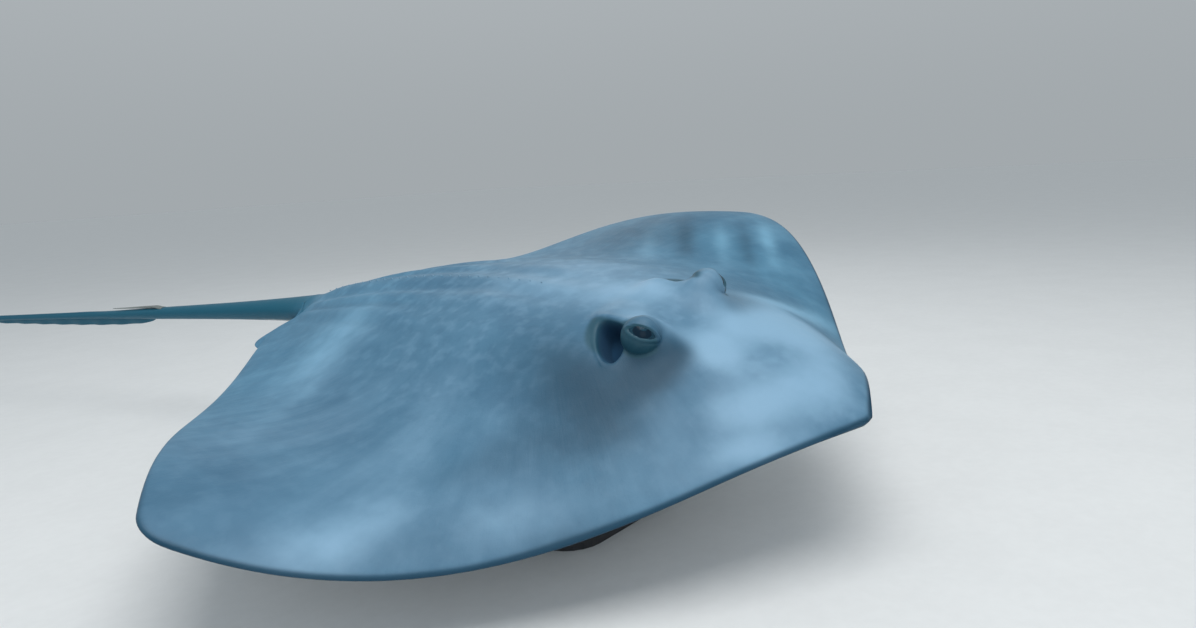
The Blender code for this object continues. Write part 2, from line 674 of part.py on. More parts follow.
# ---------------------------------------------------------------------------------------------- main
def main():
    """Clears the scene and makes every piece."""
    for old in list(bpy.data.objects):
        bpy.data.objects.remove(old, do_unlink=True)
    skin = material("skin_back", SKIN, 0.45)
    head_skin = material("skin_head", SKIN_HEAD, 0.45)
    tail_skin = material("skin_tail", SKIN_TAIL, 0.50)
    eye = material("eye", EYE_DARK, 0.08)
    horn = material("horn", HORN, 0.40)
    paint = material("stand_paint", STAND_PAINT, 0.55)
    steel = material("stand_steel", STAND_STEEL, 0.30, 1.0)

    head = make_head(head_skin)
    trunk = make_trunk(skin)
    for name, side in (("pectoral_fin_left", 1), ("pectoral_fin_right", -1)):
        make_pectoral(name, side, skin)
    for name, side in (("pelvic_fin_left", 1), ("pelvic_fin_right", -1)):
        make_pelvic(name, side, skin)
    make_tail(tail_skin)
    make_spine(horn)
    make_fold(tail_skin)
    make_eyes(head, eye)
    cut_spiracles(head, head_skin)
    cut_mouth(head, head_skin)
    cut_gills(trunk, skin)
    make_base(paint)
    make_rods(trunk, steel)


main()
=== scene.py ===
"""Looks of the stingray: one skin over the whole body, wet eyes, a saw-edged tail spine, back thorns,
the finished display stand, and a plain studio.

All lengths are metres in the frame of the solids: the ray heads along -Y, its left is +X, +Z is up.
Body points are first given on the flat, outspread animal: x to its left, y back from the snout.
"""

import logging
import math
from contextlib import contextmanager
from dataclasses import dataclass
from enum import Enum
from typing import Callable, Iterator, Sequence

import bpy
import numpy as np
from mathutils import Matrix, Vector


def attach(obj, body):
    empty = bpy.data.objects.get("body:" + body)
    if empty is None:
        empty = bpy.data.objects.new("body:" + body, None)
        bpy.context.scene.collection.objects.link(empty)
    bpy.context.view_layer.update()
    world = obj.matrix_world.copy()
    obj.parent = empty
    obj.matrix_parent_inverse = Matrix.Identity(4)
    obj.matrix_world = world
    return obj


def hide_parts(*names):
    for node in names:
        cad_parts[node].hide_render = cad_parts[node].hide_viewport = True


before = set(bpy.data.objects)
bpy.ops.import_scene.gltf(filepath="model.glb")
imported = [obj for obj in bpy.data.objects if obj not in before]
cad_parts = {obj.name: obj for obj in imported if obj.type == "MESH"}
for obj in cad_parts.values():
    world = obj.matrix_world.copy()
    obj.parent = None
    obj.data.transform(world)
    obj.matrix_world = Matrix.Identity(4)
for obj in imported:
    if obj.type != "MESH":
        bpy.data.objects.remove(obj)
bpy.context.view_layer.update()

log = logging.getLogger("stingray")

Array = np.ndarray
Piece = bpy.types.Object
Material = bpy.types.Material
W = 1.10  # the width of the disc, the usual measure of a ray


# ---------------------------------------------------------------------------- small mathematics
def ease(t: Array) -> Array:
    """Smooth step from 0 to 1."""
    t = np.clip(t, 0.0, 1.0)
    return t * t * (3.0 - 2.0 * t)


def between(low: float, high: float, value: Array) -> Array:
    """Smooth step that rises from 0 at low to 1 at high."""
    return ease((value - low) / (high - low))


def within(start: float, full: float, fall: float, end: float, value: Array) -> Array:
    """Rises from 0 at start to 1 at full, and falls back from fall to end."""
    return between(start, full, value) * (1 - between(fall, end, value))


def hump(value: Array, middle: float, spread: float) -> Array:
    """A bell of height 1 round a middle."""
    return np.exp(-((value - middle) / spread) ** 2)


def widths(*shares: float) -> tuple[float, ...]:
    """Several lengths given as shares of the disc's width."""
    return tuple(share * W for share in shares)


def degrees(*angles: float) -> tuple[float, ...]:
    """Angles in degrees, turned into radians."""
    return tuple(math.radians(angle) for angle in angles)


def through(stations: Sequence[float], values: Sequence[float], at: Array) -> Array:
    """A smooth curve without overshoot through a few stations (monotone cubic).

    Args:
        stations: rising places.
        values: the value at each place.
        at: where the curve is read; beyond the ends it stays level.

    Returns:
        The curve's values.
    """
    x, y = np.asarray(stations, float), np.asarray(values, float)
    step = np.diff(x)
    rise = np.diff(y) / step
    slope = np.zeros_like(y)
    inner = rise[:-1] * rise[1:] > 0
    weight = (2 * step[1:] + step[:-1], step[1:] + 2 * step[:-1])
    safe = np.where(inner, rise[:-1], 1.0), np.where(inner, rise[1:], 1.0)
    mean = (weight[0] + weight[1]) / (weight[0] / safe[0] + weight[1] / safe[1])
    slope[1:-1] = np.where(inner, mean, 0.0)
    slope[0], slope[-1] = rise[0], rise[-1]
    at = np.clip(np.asarray(at, float), x[0], x[-1])
    i = np.clip(np.searchsorted(x, at) - 1, 0, len(step) - 1)
    t = (at - x[i]) / step[i]
    h = step[i]
    return ((1 + 2 * t) * (1 - t) ** 2 * y[i] + t * (1 - t) ** 2 * h * slope[i]
            + t * t * (3 - 2 * t) * y[i + 1] + t * t * (t - 1) * h * slope[i + 1])


def bowed(start: Sequence[float], end: Sequence[float], bulge: float, count: int = 80) -> Array:
    """A line that bows outwards as a parabola.

    Args:
        start: its first point.
        end: its last point.
        bulge: how far its middle stands out.
        count: how many points it has.

    Returns:
        The points as rows.
    """
    t = np.linspace(0.0, 1.0, count)[:, None]
    first, run = np.array(start), np.array(end) - np.array(start)
    out = np.array([run[1], -run[0]]) / np.linalg.norm(run)
    return first + run * t + out * (4 * bulge * t * (1 - t))


def rounded(before: Array, after: Array, reach: float, count: int = 12) -> Array:
    """Joins two lines that meet in a corner by a curve.

    Args:
        before: the line that ends in the corner.
        after: the line that starts there.
        reach: how far from the corner the curve starts and ends.
        count: how many points the curve has.

    Returns:
        The one line's points.
    """
    corner = after[0]
    head = before[np.linalg.norm(before - corner, axis=1) > reach]
    tail = after[np.linalg.norm(after - corner, axis=1) > reach]
    t = np.linspace(0.0, 1.0, count)[1:-1, None]
    arc = (1 - t) ** 2 * head[-1] + 2 * t * (1 - t) * corner + t * t * tail[0]
    return np.vstack([head, arc, tail])


def edge_distance(points: Array, line: Array) -> Array:
    """Shortest way from points to a line of straight segments.

    Args:
        points: rows of places.
        line: the line's corners as rows.

    Returns:
        One distance for each point.
    """
    start, run = line[:-1], np.diff(line, axis=0)
    length = (run * run).sum(-1)
    found = []
    for chunk in np.array_split(points, max(1, len(points) // 4000)):
        off = chunk[:, None] - start
        t = np.clip((off * run).sum(-1) / length, 0, 1)
        found.append(np.sqrt(((off - run * t[..., None]) ** 2).sum(-1)).min(1))
    return np.concatenate(found)


# ------------------------------------------------------------------------------- the ray's form
@dataclass(frozen=True)
class DiscPlan:
    """The disc seen from above."""

    half_span: float = 0.5 * W
    tip_back: float = 0.390 * W
    corner_back: float = 0.872 * W
    corner_out: float = 0.085 * W
    corner_round: float = 0.020 * W
    front_bulge: float = 0.046 * W
    rear_bulge: float = 0.028 * W
    tip_round: float = 0.024 * W
    snout_round: float = 0.012 * W
    root_back: float = 0.877 * W
    root_half: float = 0.029 * W

    def margin(self) -> Array:
        """Draws the left half of the disc's edge.

        Returns:
            Its points, from the snout to the tail root.
        """
        tip, corner = (self.half_span, self.tip_back), (self.corner_out, self.corner_back)
        front, rear = bowed((0.0, 0.0), tip, self.front_bulge), bowed(tip, corner, self.rear_bulge)
        inner = bowed(corner, (self.root_half, self.root_back), 0.0, 24)
        line = rounded(rounded(front, rear, self.tip_round), inner, self.corner_round)
        line[:, 0] *= self.half_span / line[:, 0].max()
        return line


@dataclass(frozen=True)
class SwimPose:
    """How the flat animal is bent, banked and lifted; a wing's slopes are those of its front, middle and
    rear, at its root and then at its tip."""

    bank: float = math.radians(14.5)
    nose_down: float = math.radians(3.0)
    height: float = 0.208
    pivot_back: float = 0.45 * W
    snout_droop: float = 0.035 * W
    snout_from: float = 0.30 * W
    rump_droop: float = 0.020 * W
    rump_from: float = 0.45 * W
    rump_run: float = 0.42 * W
    tail_swing: float = math.radians(15.5)
    swing_start: float = 0.84 * W
    swing_ease: float = 0.05 * W
    right_wing: tuple[float, ...] = degrees(-4.0, -7.0, -8.0, -42.0, 21.0, 34.0)
    left_wing: tuple[float, ...] = degrees(-56.0, 16.4, -20.0, 20.0, -16.3, -4.0)
    wing_root: float = 0.15
    stiff_from: float = 0.1
    stiff_power: float = 1.5
    wing_ease: float = 0.30
    wing_chord: float = 0.44 * W
    chord_reach: float = 0.7
    bend_steps: int = 24

    def placing(self) -> Matrix:
        """The turn and lift from the posed animal to the stand."""
        return (Matrix.Translation((0.0, 0.0, self.height)) @ Matrix.Rotation(self.nose_down, 4, "X")
                @ Matrix.Rotation(-self.bank, 4, "Y") @ Matrix.Translation((0.0, -self.pivot_back, 0.0)))


@dataclass(frozen=True)
class BodyProfile:
    """Thickness of the body along its length, and of its fins and tail."""

    stations: tuple[float, ...] = widths(0.0, 0.06, 0.12, 0.18, 0.24, 0.32, 0.42, 0.55, 0.68, 0.78, 0.87)
    back: tuple[float, ...] = widths(0.003, 0.012, 0.024, 0.037, 0.046, 0.052, 0.054, 0.049, 0.038,
                                     0.027, 0.0165)
    belly: tuple[float, ...] = widths(0.002, 0.008, 0.016, 0.024, 0.028, 0.031, 0.032, 0.030, 0.024,
                                      0.017, 0.0130)
    half: tuple[float, ...] = widths(0.090, 0.100, 0.115, 0.130, 0.145, 0.160, 0.165, 0.150, 0.112,
                                     0.070, 0.036)
    bell_fall: float = 0.9
    bell_power: float = 2.4
    flesh: float = 0.012 * W
    flesh_slope: float = 0.055
    belly_flesh: float = 0.8
    fade: float = 0.02 * W
    edge_round: float = 0.0008 * W
    rim: float = 0.0009
    root_from: float = 0.72 * W
    root_full: float = 0.86 * W
    root_taper: float = 0.10
    tail_stations: tuple[float, ...] = widths(0.877, 0.95, 1.05, 1.15, 1.25, 1.33, 1.45, 1.80, 2.30)
    tail_wide: tuple[float, ...] = widths(0.0290, 0.0215, 0.0162, 0.0132, 0.0108, 0.0085, 0.0062,
                                          0.0040, 0.0014)
    tail_high: tuple[float, ...] = widths(0.0205, 0.0172, 0.0138, 0.0114, 0.0092, 0.0070, 0.0052,
                                          0.0035, 0.0013)


@dataclass(frozen=True)
class HeadPlan:
    """Places and sizes on the head and belly."""

    eye_back: float = 0.205 * W
    eye_out: float = 0.064 * W
    eye_up: float = 0.0575 * W
    eye_radius: float = 0.0200 * W
    eye_gaze: tuple[float, float, float] = (0.58, -0.54, 0.61)
    brow_out: float = 0.052 * W
    brow_height: float = 0.0235 * W
    brow_spread: float = 0.023 * W
    brow_long: float = 1.25
    ridge_out: float = 0.049 * W
    ridge_back: float = 0.240 * W
    ridge_height: float = 0.0085 * W
    ridge_in: float = 0.040 * W
    ridge_side: float = 0.014 * W
    ridge_long: float = 0.035 * W
    spiracle_back: float = 0.2355 * W
    spiracle_out: float = 0.0765 * W
    spiracle_long: float = 0.0185 * W
    spiracle_wide: float = 0.0260 * W
    spiracle_slant: float = 0.45
    spiracle_deep: float = 0.027
    mouth_back: float = 0.175 * W
    mouth_half: float = 0.042 * W
    nostril_out: float = 0.042 * W
    nostril_back: float = 0.151 * W
    gill_pairs: int = 5
    gill_first_back: float = 0.305 * W
    gill_step: float = 0.031 * W
    gill_first_out: float = 0.105 * W
    gill_last_out: float = 0.070 * W
    gill_length: float = 0.030 * W

    def gill_out(self, share: Array) -> Array:
        """How far out the gill slits lie, from the first (0) to the last (1)."""
        return self.gill_first_out + (self.gill_last_out - self.gill_first_out) * share


class RayForm:
    """The ray's surface: heights on the flat animal and their place in the swimming one."""

    def __init__(self) -> None:
        """Works out the outline once."""
        self.disc, self.pose_plan = DiscPlan(), SwimPose()
        self.profile, self.head = BodyProfile(), HeadPlan()
        self.margin = self.disc.margin()
        tip = int(np.argmax(self.margin[:, 0]))
        tail_side = np.array([[self.disc.root_half, 1.2 * W]])
        self.front = self.margin[:tip + 1]
        self.rear = np.vstack([self.margin[tip:], tail_side])
        self.turn = np.array(self.pose_plan.placing())

    def reach(self, y: Array) -> Array:
        """Half width of the disc, with a round snout.

        Args:
            y: places behind the snout.

        Returns:
            The half widths there.
        """
        out = np.interp(y, self.margin[:, 1], self.margin[:, 0])
        nose = self.disc.snout_round
        return np.sqrt(out ** 2 + 2 * nose * np.clip(y, 0, None) * np.exp(-y / nose))

    def inside(self, x: Array, y: Array) -> Array:
        """Distance from the disc's edge, with no crease along the middle of a wing.

        Args:
            x: places to the left.
            y: places behind the snout.

        Returns:
            The distances.
        """
        near, far = np.stack([np.abs(x), y], -1), np.stack([-np.abs(x), y], -1)
        parts = [edge_distance(p, line) for p in (near, far) for line in (self.front, self.rear)]
        return sum(np.maximum(part, 1e-5) ** -4.0 for part in parts) ** -0.25

    def heights(self, x: Array, y: Array, depth: Array) -> tuple[Array, Array]:
        """Height of the back and depth of the belly over the disc's middle surface.

        Args:
            x: places to the left.
            y: places behind the snout.
            depth: distance from the disc's edge at those places.

        Returns:
            The height above and the depth below.
        """
        form = self.profile
        swell = np.sqrt(2 * form.edge_round * depth) + form.flesh_slope * depth
        thin = form.flesh * (1 - np.exp(-swell / form.flesh))
        share = np.abs(x) / through(form.stations, form.half, y)
        bell = np.exp(-form.bell_fall * share ** form.bell_power) * (1 - np.exp(-depth / form.fade))
        edge = form.rim * (1 - np.exp(-depth / form.rim))
        top = edge + thin + through(form.stations, form.back, y) * bell
        low = edge + form.belly_flesh * thin + through(form.stations, form.belly, y) * bell
        return top + self.brow(x, y), low

    def brow(self, x: Array, y: Array) -> Array:
        """The bump under an eye and the ridge that runs back from it along the spiracle.

        Args:
            x: places to the left.
            y: places behind the snout.

        Returns:
            Their height.
        """
        head = self.head
        across = (np.abs(x) - head.brow_out) / head.brow_spread
        along = (y - head.eye_back) / (head.brow_spread * head.brow_long)
        bump = head.brow_height * np.exp(-across ** 2 - along ** 2)
        off = np.abs(x) - head.ridge_out
        slope = off / np.where(off < 0, head.ridge_in, head.ridge_side)
        ridge = head.ridge_height * np.exp(-slope ** 2 - ((y - head.ridge_back) / head.ridge_long) ** 4)
        return (bump ** 4 + ridge ** 4) ** 0.25

    def rooted(self, x: Array, y: Array, height: Array) -> Array:
        """Lets the round tail grow out of the flat trunk: raises a height to the tail's own oval.

        Args:
            x: places to the left.
            y: places behind the snout.
            height: height above, or depth below, at those places.

        Returns:
            The height with the tail root in it.
        """
        form = self.profile
        ahead = np.clip(self.disc.root_back - y, 0, None)
        wide = self.disc.root_half * (1 - 1e-4) + form.root_taper * ahead
        oval = form.tail_high[0] * np.sqrt(np.clip(1 - (x / wide) ** 2, 0, 1))
        oval = oval * between(form.root_from, form.root_full, y)
        return (np.maximum(height, 1e-6) ** 8 + oval ** 8) ** 0.125

    def wing_slope(self, share: Array, chord: Array, wing: Sequence[float]) -> Array:
        """Upward slope of a wing.

        Args:
            share: places as shares of its half span.
            chord: their place across the wing, from 1 in front to -1 behind.
            wing: the wing's six slopes.

        Returns:
            The slopes as angles.
        """
        plan = self.pose_plan
        ahead = np.clip((chord - plan.stiff_from) / (1 - plan.stiff_from), 0, 1)
        stiff = plan.wing_root * (1 - ahead ** plan.stiff_power)
        out = np.clip((share - stiff) / (1 - stiff), 0, 1)
        ends = []
        for front, middle, rear in (wing[:3], wing[3:]):
            lean = (front - rear) / (2 * plan.chord_reach)
            bow = ((front + rear) / 2 - middle) / plan.chord_reach ** 2
            ends.append(middle + chord * lean + chord * chord * bow)
        root, tip = ends
        return ease(out / plan.wing_ease) * (root + (tip - root) * ease(out))

    def pose(self, x: Array, y: Array, z: Array) -> Array:
        """Moves points of the outspread animal to their place in the swimming one, on its stand.

        Args:
            x: places to the left.
            y: places behind the snout.
            z: heights over the middle surface.

        Returns:
            The places as rows.
        """
        x, y, z = np.broadcast_arrays(*(np.atleast_1d(np.asarray(v, float)) for v in (x, y, z)))
        plan = self.pose_plan
        steps = (np.arange(plan.bend_steps) + 0.5) / plan.bend_steps
        chord = np.clip((self.disc.tip_back - y) / plan.wing_chord, -1, 1)
        share = np.abs(x) / self.disc.half_span
        across, up = np.zeros_like(x), np.zeros_like(x)
        for side, wing in ((1, plan.left_wing), (-1, plan.right_wing)):
            mine = x >= 0 if side > 0 else x < 0
            slope = self.wing_slope(share[mine][:, None] * steps, chord[mine][:, None], wing)
            here = self.wing_slope(share[mine], chord[mine], wing)
            along = np.abs(x[mine])
            across[mine] = side * (np.cos(slope).mean(-1) * along - np.sin(here) * z[mine])
            up[mine] = np.sin(slope).mean(-1) * along + np.cos(here) * z[mine]
        fore = np.clip((plan.snout_from - y) / plan.snout_from, 0, 1)
        aft = np.clip((y - plan.rump_from) / plan.rump_run, 0, None)
        up = up - plan.snout_droop * fore ** 2 - plan.rump_droop * np.where(aft < 1, aft ** 2, 2 * aft - 1)
        behind = np.clip(y - plan.swing_start, 0, None)
        swing = math.tan(plan.tail_swing) * (np.hypot(behind, plan.swing_ease) - plan.swing_ease)
        posed = np.stack([across - swing, y, up + swing * math.tan(plan.bank)], -1)
        return posed @ self.turn[:3, :3].T + self.turn[:3, 3]

    def spot(self, x: float, y: float, z: float) -> Vector:
        """World place of one point of the outspread animal."""
        return Vector(self.pose(x, y, z)[0])

    def heading(self, x: float, y: float, z: float) -> Vector:
        """World direction of a direction of the flat body."""
        return Vector(self.turn[:3, :3] @ np.array([x, y, z])).normalized()

    def back_top(self, x: float, y: float) -> float:
        """Height of the back at one place of the flat animal."""
        at = np.array([x]), np.array([y])
        return self.heights(*at, self.inside(*at))[0][0]

    def tail_wide(self, y: Array) -> Array:
        """Half width of the tail."""
        return through(self.profile.tail_stations, self.profile.tail_wide, y)

    def tail_high(self, y: Array) -> Array:
        """Half height of the tail."""
        return through(self.profile.tail_stations, self.profile.tail_high, y)


# ---------------------------------------------------------------------------------- mesh helpers
def deselect() -> None:
    """Leaves edit mode and deselects every object."""
    if bpy.context.object and bpy.context.object.mode != "OBJECT":
        bpy.ops.object.mode_set(mode="OBJECT")
    bpy.ops.object.select_all(action="DESELECT")


def choose(*pieces: Piece) -> None:
    """Selects only some objects.

    Args:
        pieces: the objects; the first of them becomes active.
    """
    deselect()
    for piece in pieces:
        piece.select_set(True)
    bpy.context.view_layer.objects.active = pieces[0]


@contextmanager
def editing(piece: Piece, select: str = "SELECT") -> Iterator[None]:
    """Opens one object in edit mode and closes it again.

    Args:
        piece: the object.
        select: SELECT to start with all of it selected, DESELECT to start with nothing selected.

    Yields:
        Nothing; the mesh operators run in between.
    """
    choose(piece)
    bpy.ops.object.mode_set(mode="EDIT")
    bpy.ops.mesh.select_all(action=select)
    yield
    bpy.ops.object.mode_set(mode="OBJECT")


def read(rows: object, key: str, size: int = 3) -> Array:
    """Reads numbers of a mesh.

    Args:
        rows: its points, faces or stored values.
        key: what is read of each.
        size: how many numbers that is.

    Returns:
        One row of numbers for each.
    """
    found = np.zeros(len(rows) * size)
    rows.foreach_get(key, found)
    return found.reshape(-1, size)


def counted(rows: object, key: str) -> Array:
    """Reads one whole number of each face or corner of a mesh.

    Args:
        rows: the faces or corners.
        key: what is read of each.

    Returns:
        The numbers.
    """
    found = np.zeros(len(rows), int)
    rows.foreach_get(key, found)
    return found


def points_of(piece: Piece) -> Array:
    """The mesh's points as rows."""
    return read(piece.data.vertices, "co")


def set_points(piece: Piece, points: Array) -> None:
    """Moves the mesh's points."""
    piece.data.vertices.foreach_set("co", np.asarray(points, np.float32).ravel())
    piece.data.update()


def store(piece: Piece, name: str, values: Array) -> None:
    """Keeps a number, or three, at each point under a name that materials can read.

    Args:
        piece: the object.
        name: the name.
        values: one number or one row of three for each point.
    """
    kind, key = ("FLOAT_VECTOR", "vector") if values.ndim == 2 else ("FLOAT", "value")
    layer = piece.data.attributes.get(name) or piece.data.attributes.new(name, kind, "POINT")
    layer.data.foreach_set(key, np.asarray(values, np.float32).ravel())


def stored(piece: Piece, name: str) -> Array:
    """Reads back three numbers for each point."""
    return read(piece.data.attributes[name].data, "vector")


def grid(name: str, across: int, along: int) -> tuple[Piece, Array, Array]:
    """A flat grid that is then given its shape.

    Args:
        name: the object's name.
        across: faces along its X.
        along: faces along its Y.

    Returns:
        The object, and each point's share across and along, from 0 to 1.
    """
    deselect()
    bpy.ops.mesh.primitive_grid_add(x_subdivisions=across, y_subdivisions=along, size=1.0)
    made = bpy.context.object
    made.name = made.data.name = name
    flat = points_of(made)[:, :2] + 0.5
    return made, flat[:, 0], flat[:, 1]


def banded(first: float, bands: Sequence[tuple[float, int]]) -> Array:
    """Rising places that crowd in some bands.

    Args:
        first: the first place.
        bands: the end of each band, and its number of even steps.

    Returns:
        The places.
    """
    places = [np.array([first])]
    for end, count in bands:
        places.append(np.linspace(places[-1][-1], end, count + 1)[1:])
    return np.concatenate(places)


def merge(piece: Piece, distance: float = 1e-5) -> None:
    """Joins points that coincide and turns all faces outwards.

    Args:
        piece: the object.
        distance: how close points are joined.
    """
    with editing(piece):
        bpy.ops.mesh.remove_doubles(threshold=distance)
        bpy.ops.mesh.normals_make_consistent(inside=False)


def refine(piece: Piece, wanted: Callable[[Array, Array], Array]) -> None:
    """Cuts some faces in half both ways.

    Args:
        piece: the object.
        wanted: tells from a face's middle whether it is cut.
    """
    with editing(piece, "DESELECT"):
        bpy.ops.mesh.select_mode(type="FACE")
    middles = read(piece.data.polygons, "center")
    piece.data.polygons.foreach_set("select", wanted(middles[:, 0], middles[:, 1]))
    bpy.ops.object.mode_set(mode="EDIT")
    bpy.ops.mesh.subdivide(number_cuts=1)
    bpy.ops.object.mode_set(mode="OBJECT")


def join(*pieces: Piece) -> Piece:
    """Makes one object of several.

    Args:
        pieces: the objects.

    Returns:
        The one object, under the first one's name.
    """
    choose(*pieces)
    bpy.ops.object.join()
    return bpy.context.object


def clothe(piece: Piece, name: str, finish: Material, crisp: float | None = None) -> None:
    """Names a piece, gives it its material and shades it smooth.

    Args:
        piece: the object.
        name: its name.
        finish: its only material.
        crisp: edges sharper than this many degrees stay crisp; None for none.
    """
    piece.data.materials.clear()
    piece.data.materials.append(finish)
    choose(piece)
    if crisp is None:
        bpy.ops.object.shade_smooth()
    else:
        bpy.ops.object.shade_smooth_by_angle(angle=math.radians(crisp))
    piece.name = piece.data.name = name


# -------------------------------------------------------------------------------------- finishes
class Tone(Enum):
    """The colours of the animal and its stand, linear light."""

    SLATE = (0.084, 0.212, 0.330)
    SLATE_DEEP = (0.052, 0.150, 0.250)
    # Paler spots and markings, and painted highlights over the head.
    MIST_AND_HIGHLIGHT = (0.275, 0.472, 0.650)
    # Darker markings, and painted shade below the eyes, over the raised far wing, along the rim and where
    # the back's folds dip.
    DUSK_AND_SHADE = (0.005, 0.049, 0.094)
    MILK = (0.640, 0.660, 0.670)
    MILK_DEEP = (0.500, 0.510, 0.520)
    TAIL = (0.008, 0.110, 0.176)
    # Dark teal of the lids, laid as painted shade on each eye dome's lower outer side and in the recess
    # behind each eye; the eyeball also wears it round the iris.
    LID = (0.022, 0.086, 0.126)
    # Painted shade inside the spiracle holes.
    PIT_SHADE = (0.012, 0.052, 0.110)
    HORN = (0.200, 0.225, 0.220)
    THORN = (0.150, 0.290, 0.410)
    IRIS = (0.006, 0.040, 0.074)
    IRIS_PALE = (0.016, 0.062, 0.092)
    PUPIL = (0.003, 0.018, 0.036)
    POWDER = (0.030, 0.032, 0.036)
    STEEL = (0.560, 0.570, 0.580)
    FLOOR = (0.800, 0.815, 0.820)
    AIR_LOW = (0.630, 0.685, 0.720)
    AIR_HIGH = (0.780, 0.840, 0.880)

    @property
    def rgba(self) -> tuple[float, float, float, float]:
        """The colour with full cover."""
        return (*self.value, 1.0)

    def scaled(self, share: float) -> tuple[float, float, float, float]:
        """The colour made darker or lighter by a share."""
        return (*(min(value * share, 1.0) for value in self.value), 1.0)


class Nodes:
    """A short hand for building node trees."""

    def __init__(self, tree: bpy.types.NodeTree) -> None:
        """Starts work on a tree."""
        self.tree = tree

    def add(self, kind: str, inputs: dict | None = None, **settings: object) -> bpy.types.Node:
        """Adds a node, sets its properties, and sets or links its inputs.

        Args:
            kind: the node's type name.
            inputs: socket name or number to a value or to an output socket.
            settings: properties of the node.

        Returns:
            The node.
        """
        node = self.tree.nodes.new(kind)
        for key, value in settings.items():
            setattr(node, key, value)
        for key, value in (inputs or {}).items():
            self.feed(value, node.inputs[key])
        return node

    def feed(self, value: object, socket: bpy.types.NodeSocket) -> None:
        """Links an output socket to an input, or sets the input to a plain value.

        Args:
            value: the output socket or the value.
            socket: the input.
        """
        if isinstance(value, bpy.types.NodeSocket):
            self.tree.links.new(value, socket)
        else:
            socket.default_value = value

    def math(self, operation: str, *values: object) -> object:
        """One sum on two or three numbers."""
        return self.add("ShaderNodeMath", dict(enumerate(values)), operation=operation).outputs[0]

    def times(self, first: object, second: object) -> object:
        """The product of two numbers."""
        return self.math("MULTIPLY", first, second)

    def mix(self, share: object, first: object, second: object, blend: str = "MIX") -> object:
        """Blends two colours.

        Args:
            share: how much of the second shows.
            first: the colour below.
            second: the colour laid over it.
            blend: how it is laid over.

        Returns:
            The blended colour.
        """
        node = self.add("ShaderNodeMix", data_type="RGBA", blend_type=blend)
        sockets = {socket.identifier: socket for socket in node.inputs}
        for name, value in (("Factor_Float", share), ("A_Color", first), ("B_Color", second)):
            self.feed(value, sockets[name])
        return next(socket for socket in node.outputs if socket.identifier == "Result_Color")

    def step(self, value: object, low: float, high: float) -> object:
        """A smooth step between two levels."""
        return self.add("ShaderNodeMapRange", {"Value": value, "From Min": low, "From Max": high},
                        interpolation_type="SMOOTHSTEP").outputs[0]

    def noise(self, place: object, scale: object, detail: float = 4.0, rough: float = 0.5,
              twist: float = 0.0) -> object:
        """Cloudy noise from 0 to 1."""
        return self.add("ShaderNodeTexNoise", {"Vector": place, "Scale": scale, "Detail": detail,
                                               "Roughness": rough, "Distortion": twist}).outputs["Fac"]

    def attribute(self, name: str, output: str = "Fac") -> object:
        """A number or vector stored on the mesh."""
        return self.add("ShaderNodeAttribute", attribute_name=name).outputs[output]

    def place(self) -> object:
        """Places in the object's own frame."""
        return self.add("ShaderNodeTexCoord").outputs["Object"]

    def relief(self, height: object, strength: float, depth: float) -> object:
        """A fine relief for a shader's normal."""
        return self.add("ShaderNodeBump", {"Strength": strength, "Distance": depth,
                                           "Height": height}).outputs[0]


@dataclass(frozen=True)
class SkinClouds:
    """Soft clouds and fine speckle, the grain that all the ray's skin shares."""

    stretch: tuple[float, float, float] = (1.0, 0.45, 1.0)
    middle_scale: float = 34.0
    fine_scale: float = 420.0
    grain_scale: float = 900.0
    cloud_levels: tuple[float, float] = (0.30, 0.72)
    mottle_levels: tuple[float, float] = (0.35, 0.70)
    speckle_levels: tuple[float, float] = (0.56, 0.70)
    mottle: float = 0.22
    relief_shares: tuple[float, float, float] = (0.5, 0.35, 0.9)

    def start(self) -> Nodes:
        """Starts the shader node group with its named inputs and outputs.

        Returns:
            The tree to build in.
        """
        tree = bpy.data.node_groups.new("skin clouds", "ShaderNodeTree")
        inputs = {"Place": ("NodeSocketVector", (0.0, 0.0, 0.0)),
                  "Light": ("NodeSocketColor", Tone.SLATE.rgba),
                  "Deep": ("NodeSocketColor", Tone.SLATE_DEEP.rgba),
                  "Clouds": ("NodeSocketFloat", 7.0), "Speckle": ("NodeSocketFloat", 0.25)}
        for name, (kind, value) in inputs.items():
            tree.interface.new_socket(name, in_out="INPUT", socket_type=kind).default_value = value
        for name, kind in (("Color", "NodeSocketColor"), ("Relief", "NodeSocketFloat")):
            tree.interface.new_socket(name, in_out="OUTPUT", socket_type=kind)
        return Nodes(tree)

    def make(self) -> bpy.types.NodeTree:
        """Builds the group.

        Returns:
            The group.
        """
        work = self.start()
        source, sink = work.add("NodeGroupInput").outputs, work.add("NodeGroupOutput").inputs
        place, light, deep = source["Place"], source["Light"], source["Deep"]
        stretched = work.add("ShaderNodeMapping", {"Vector": place, "Scale": self.stretch}).outputs[0]
        broad = work.noise(stretched, source["Clouds"], 3.0, 0.55, 0.6)
        middle = work.noise(place, self.middle_scale, 3.0, 0.6)
        fine = work.noise(place, self.fine_scale, 2.0, 0.6)
        grain = work.noise(place, self.grain_scale, 2.0, 0.5)
        base = work.mix(work.step(broad, *self.cloud_levels), deep, light)
        mottle = work.times(work.step(middle, *self.mottle_levels), self.mottle)
        base = work.mix(mottle, base, light)
        dots = work.times(work.step(fine, *self.speckle_levels), source["Speckle"])
        work.feed(work.mix(dots, base, deep), sink["Color"])
        fine, grain, middle = (work.times(value, share) for value, share in
                               zip((fine, grain, middle), self.relief_shares))
        work.feed(work.math("ADD", work.math("ADD", fine, grain), middle), sink["Relief"])
        return work.tree


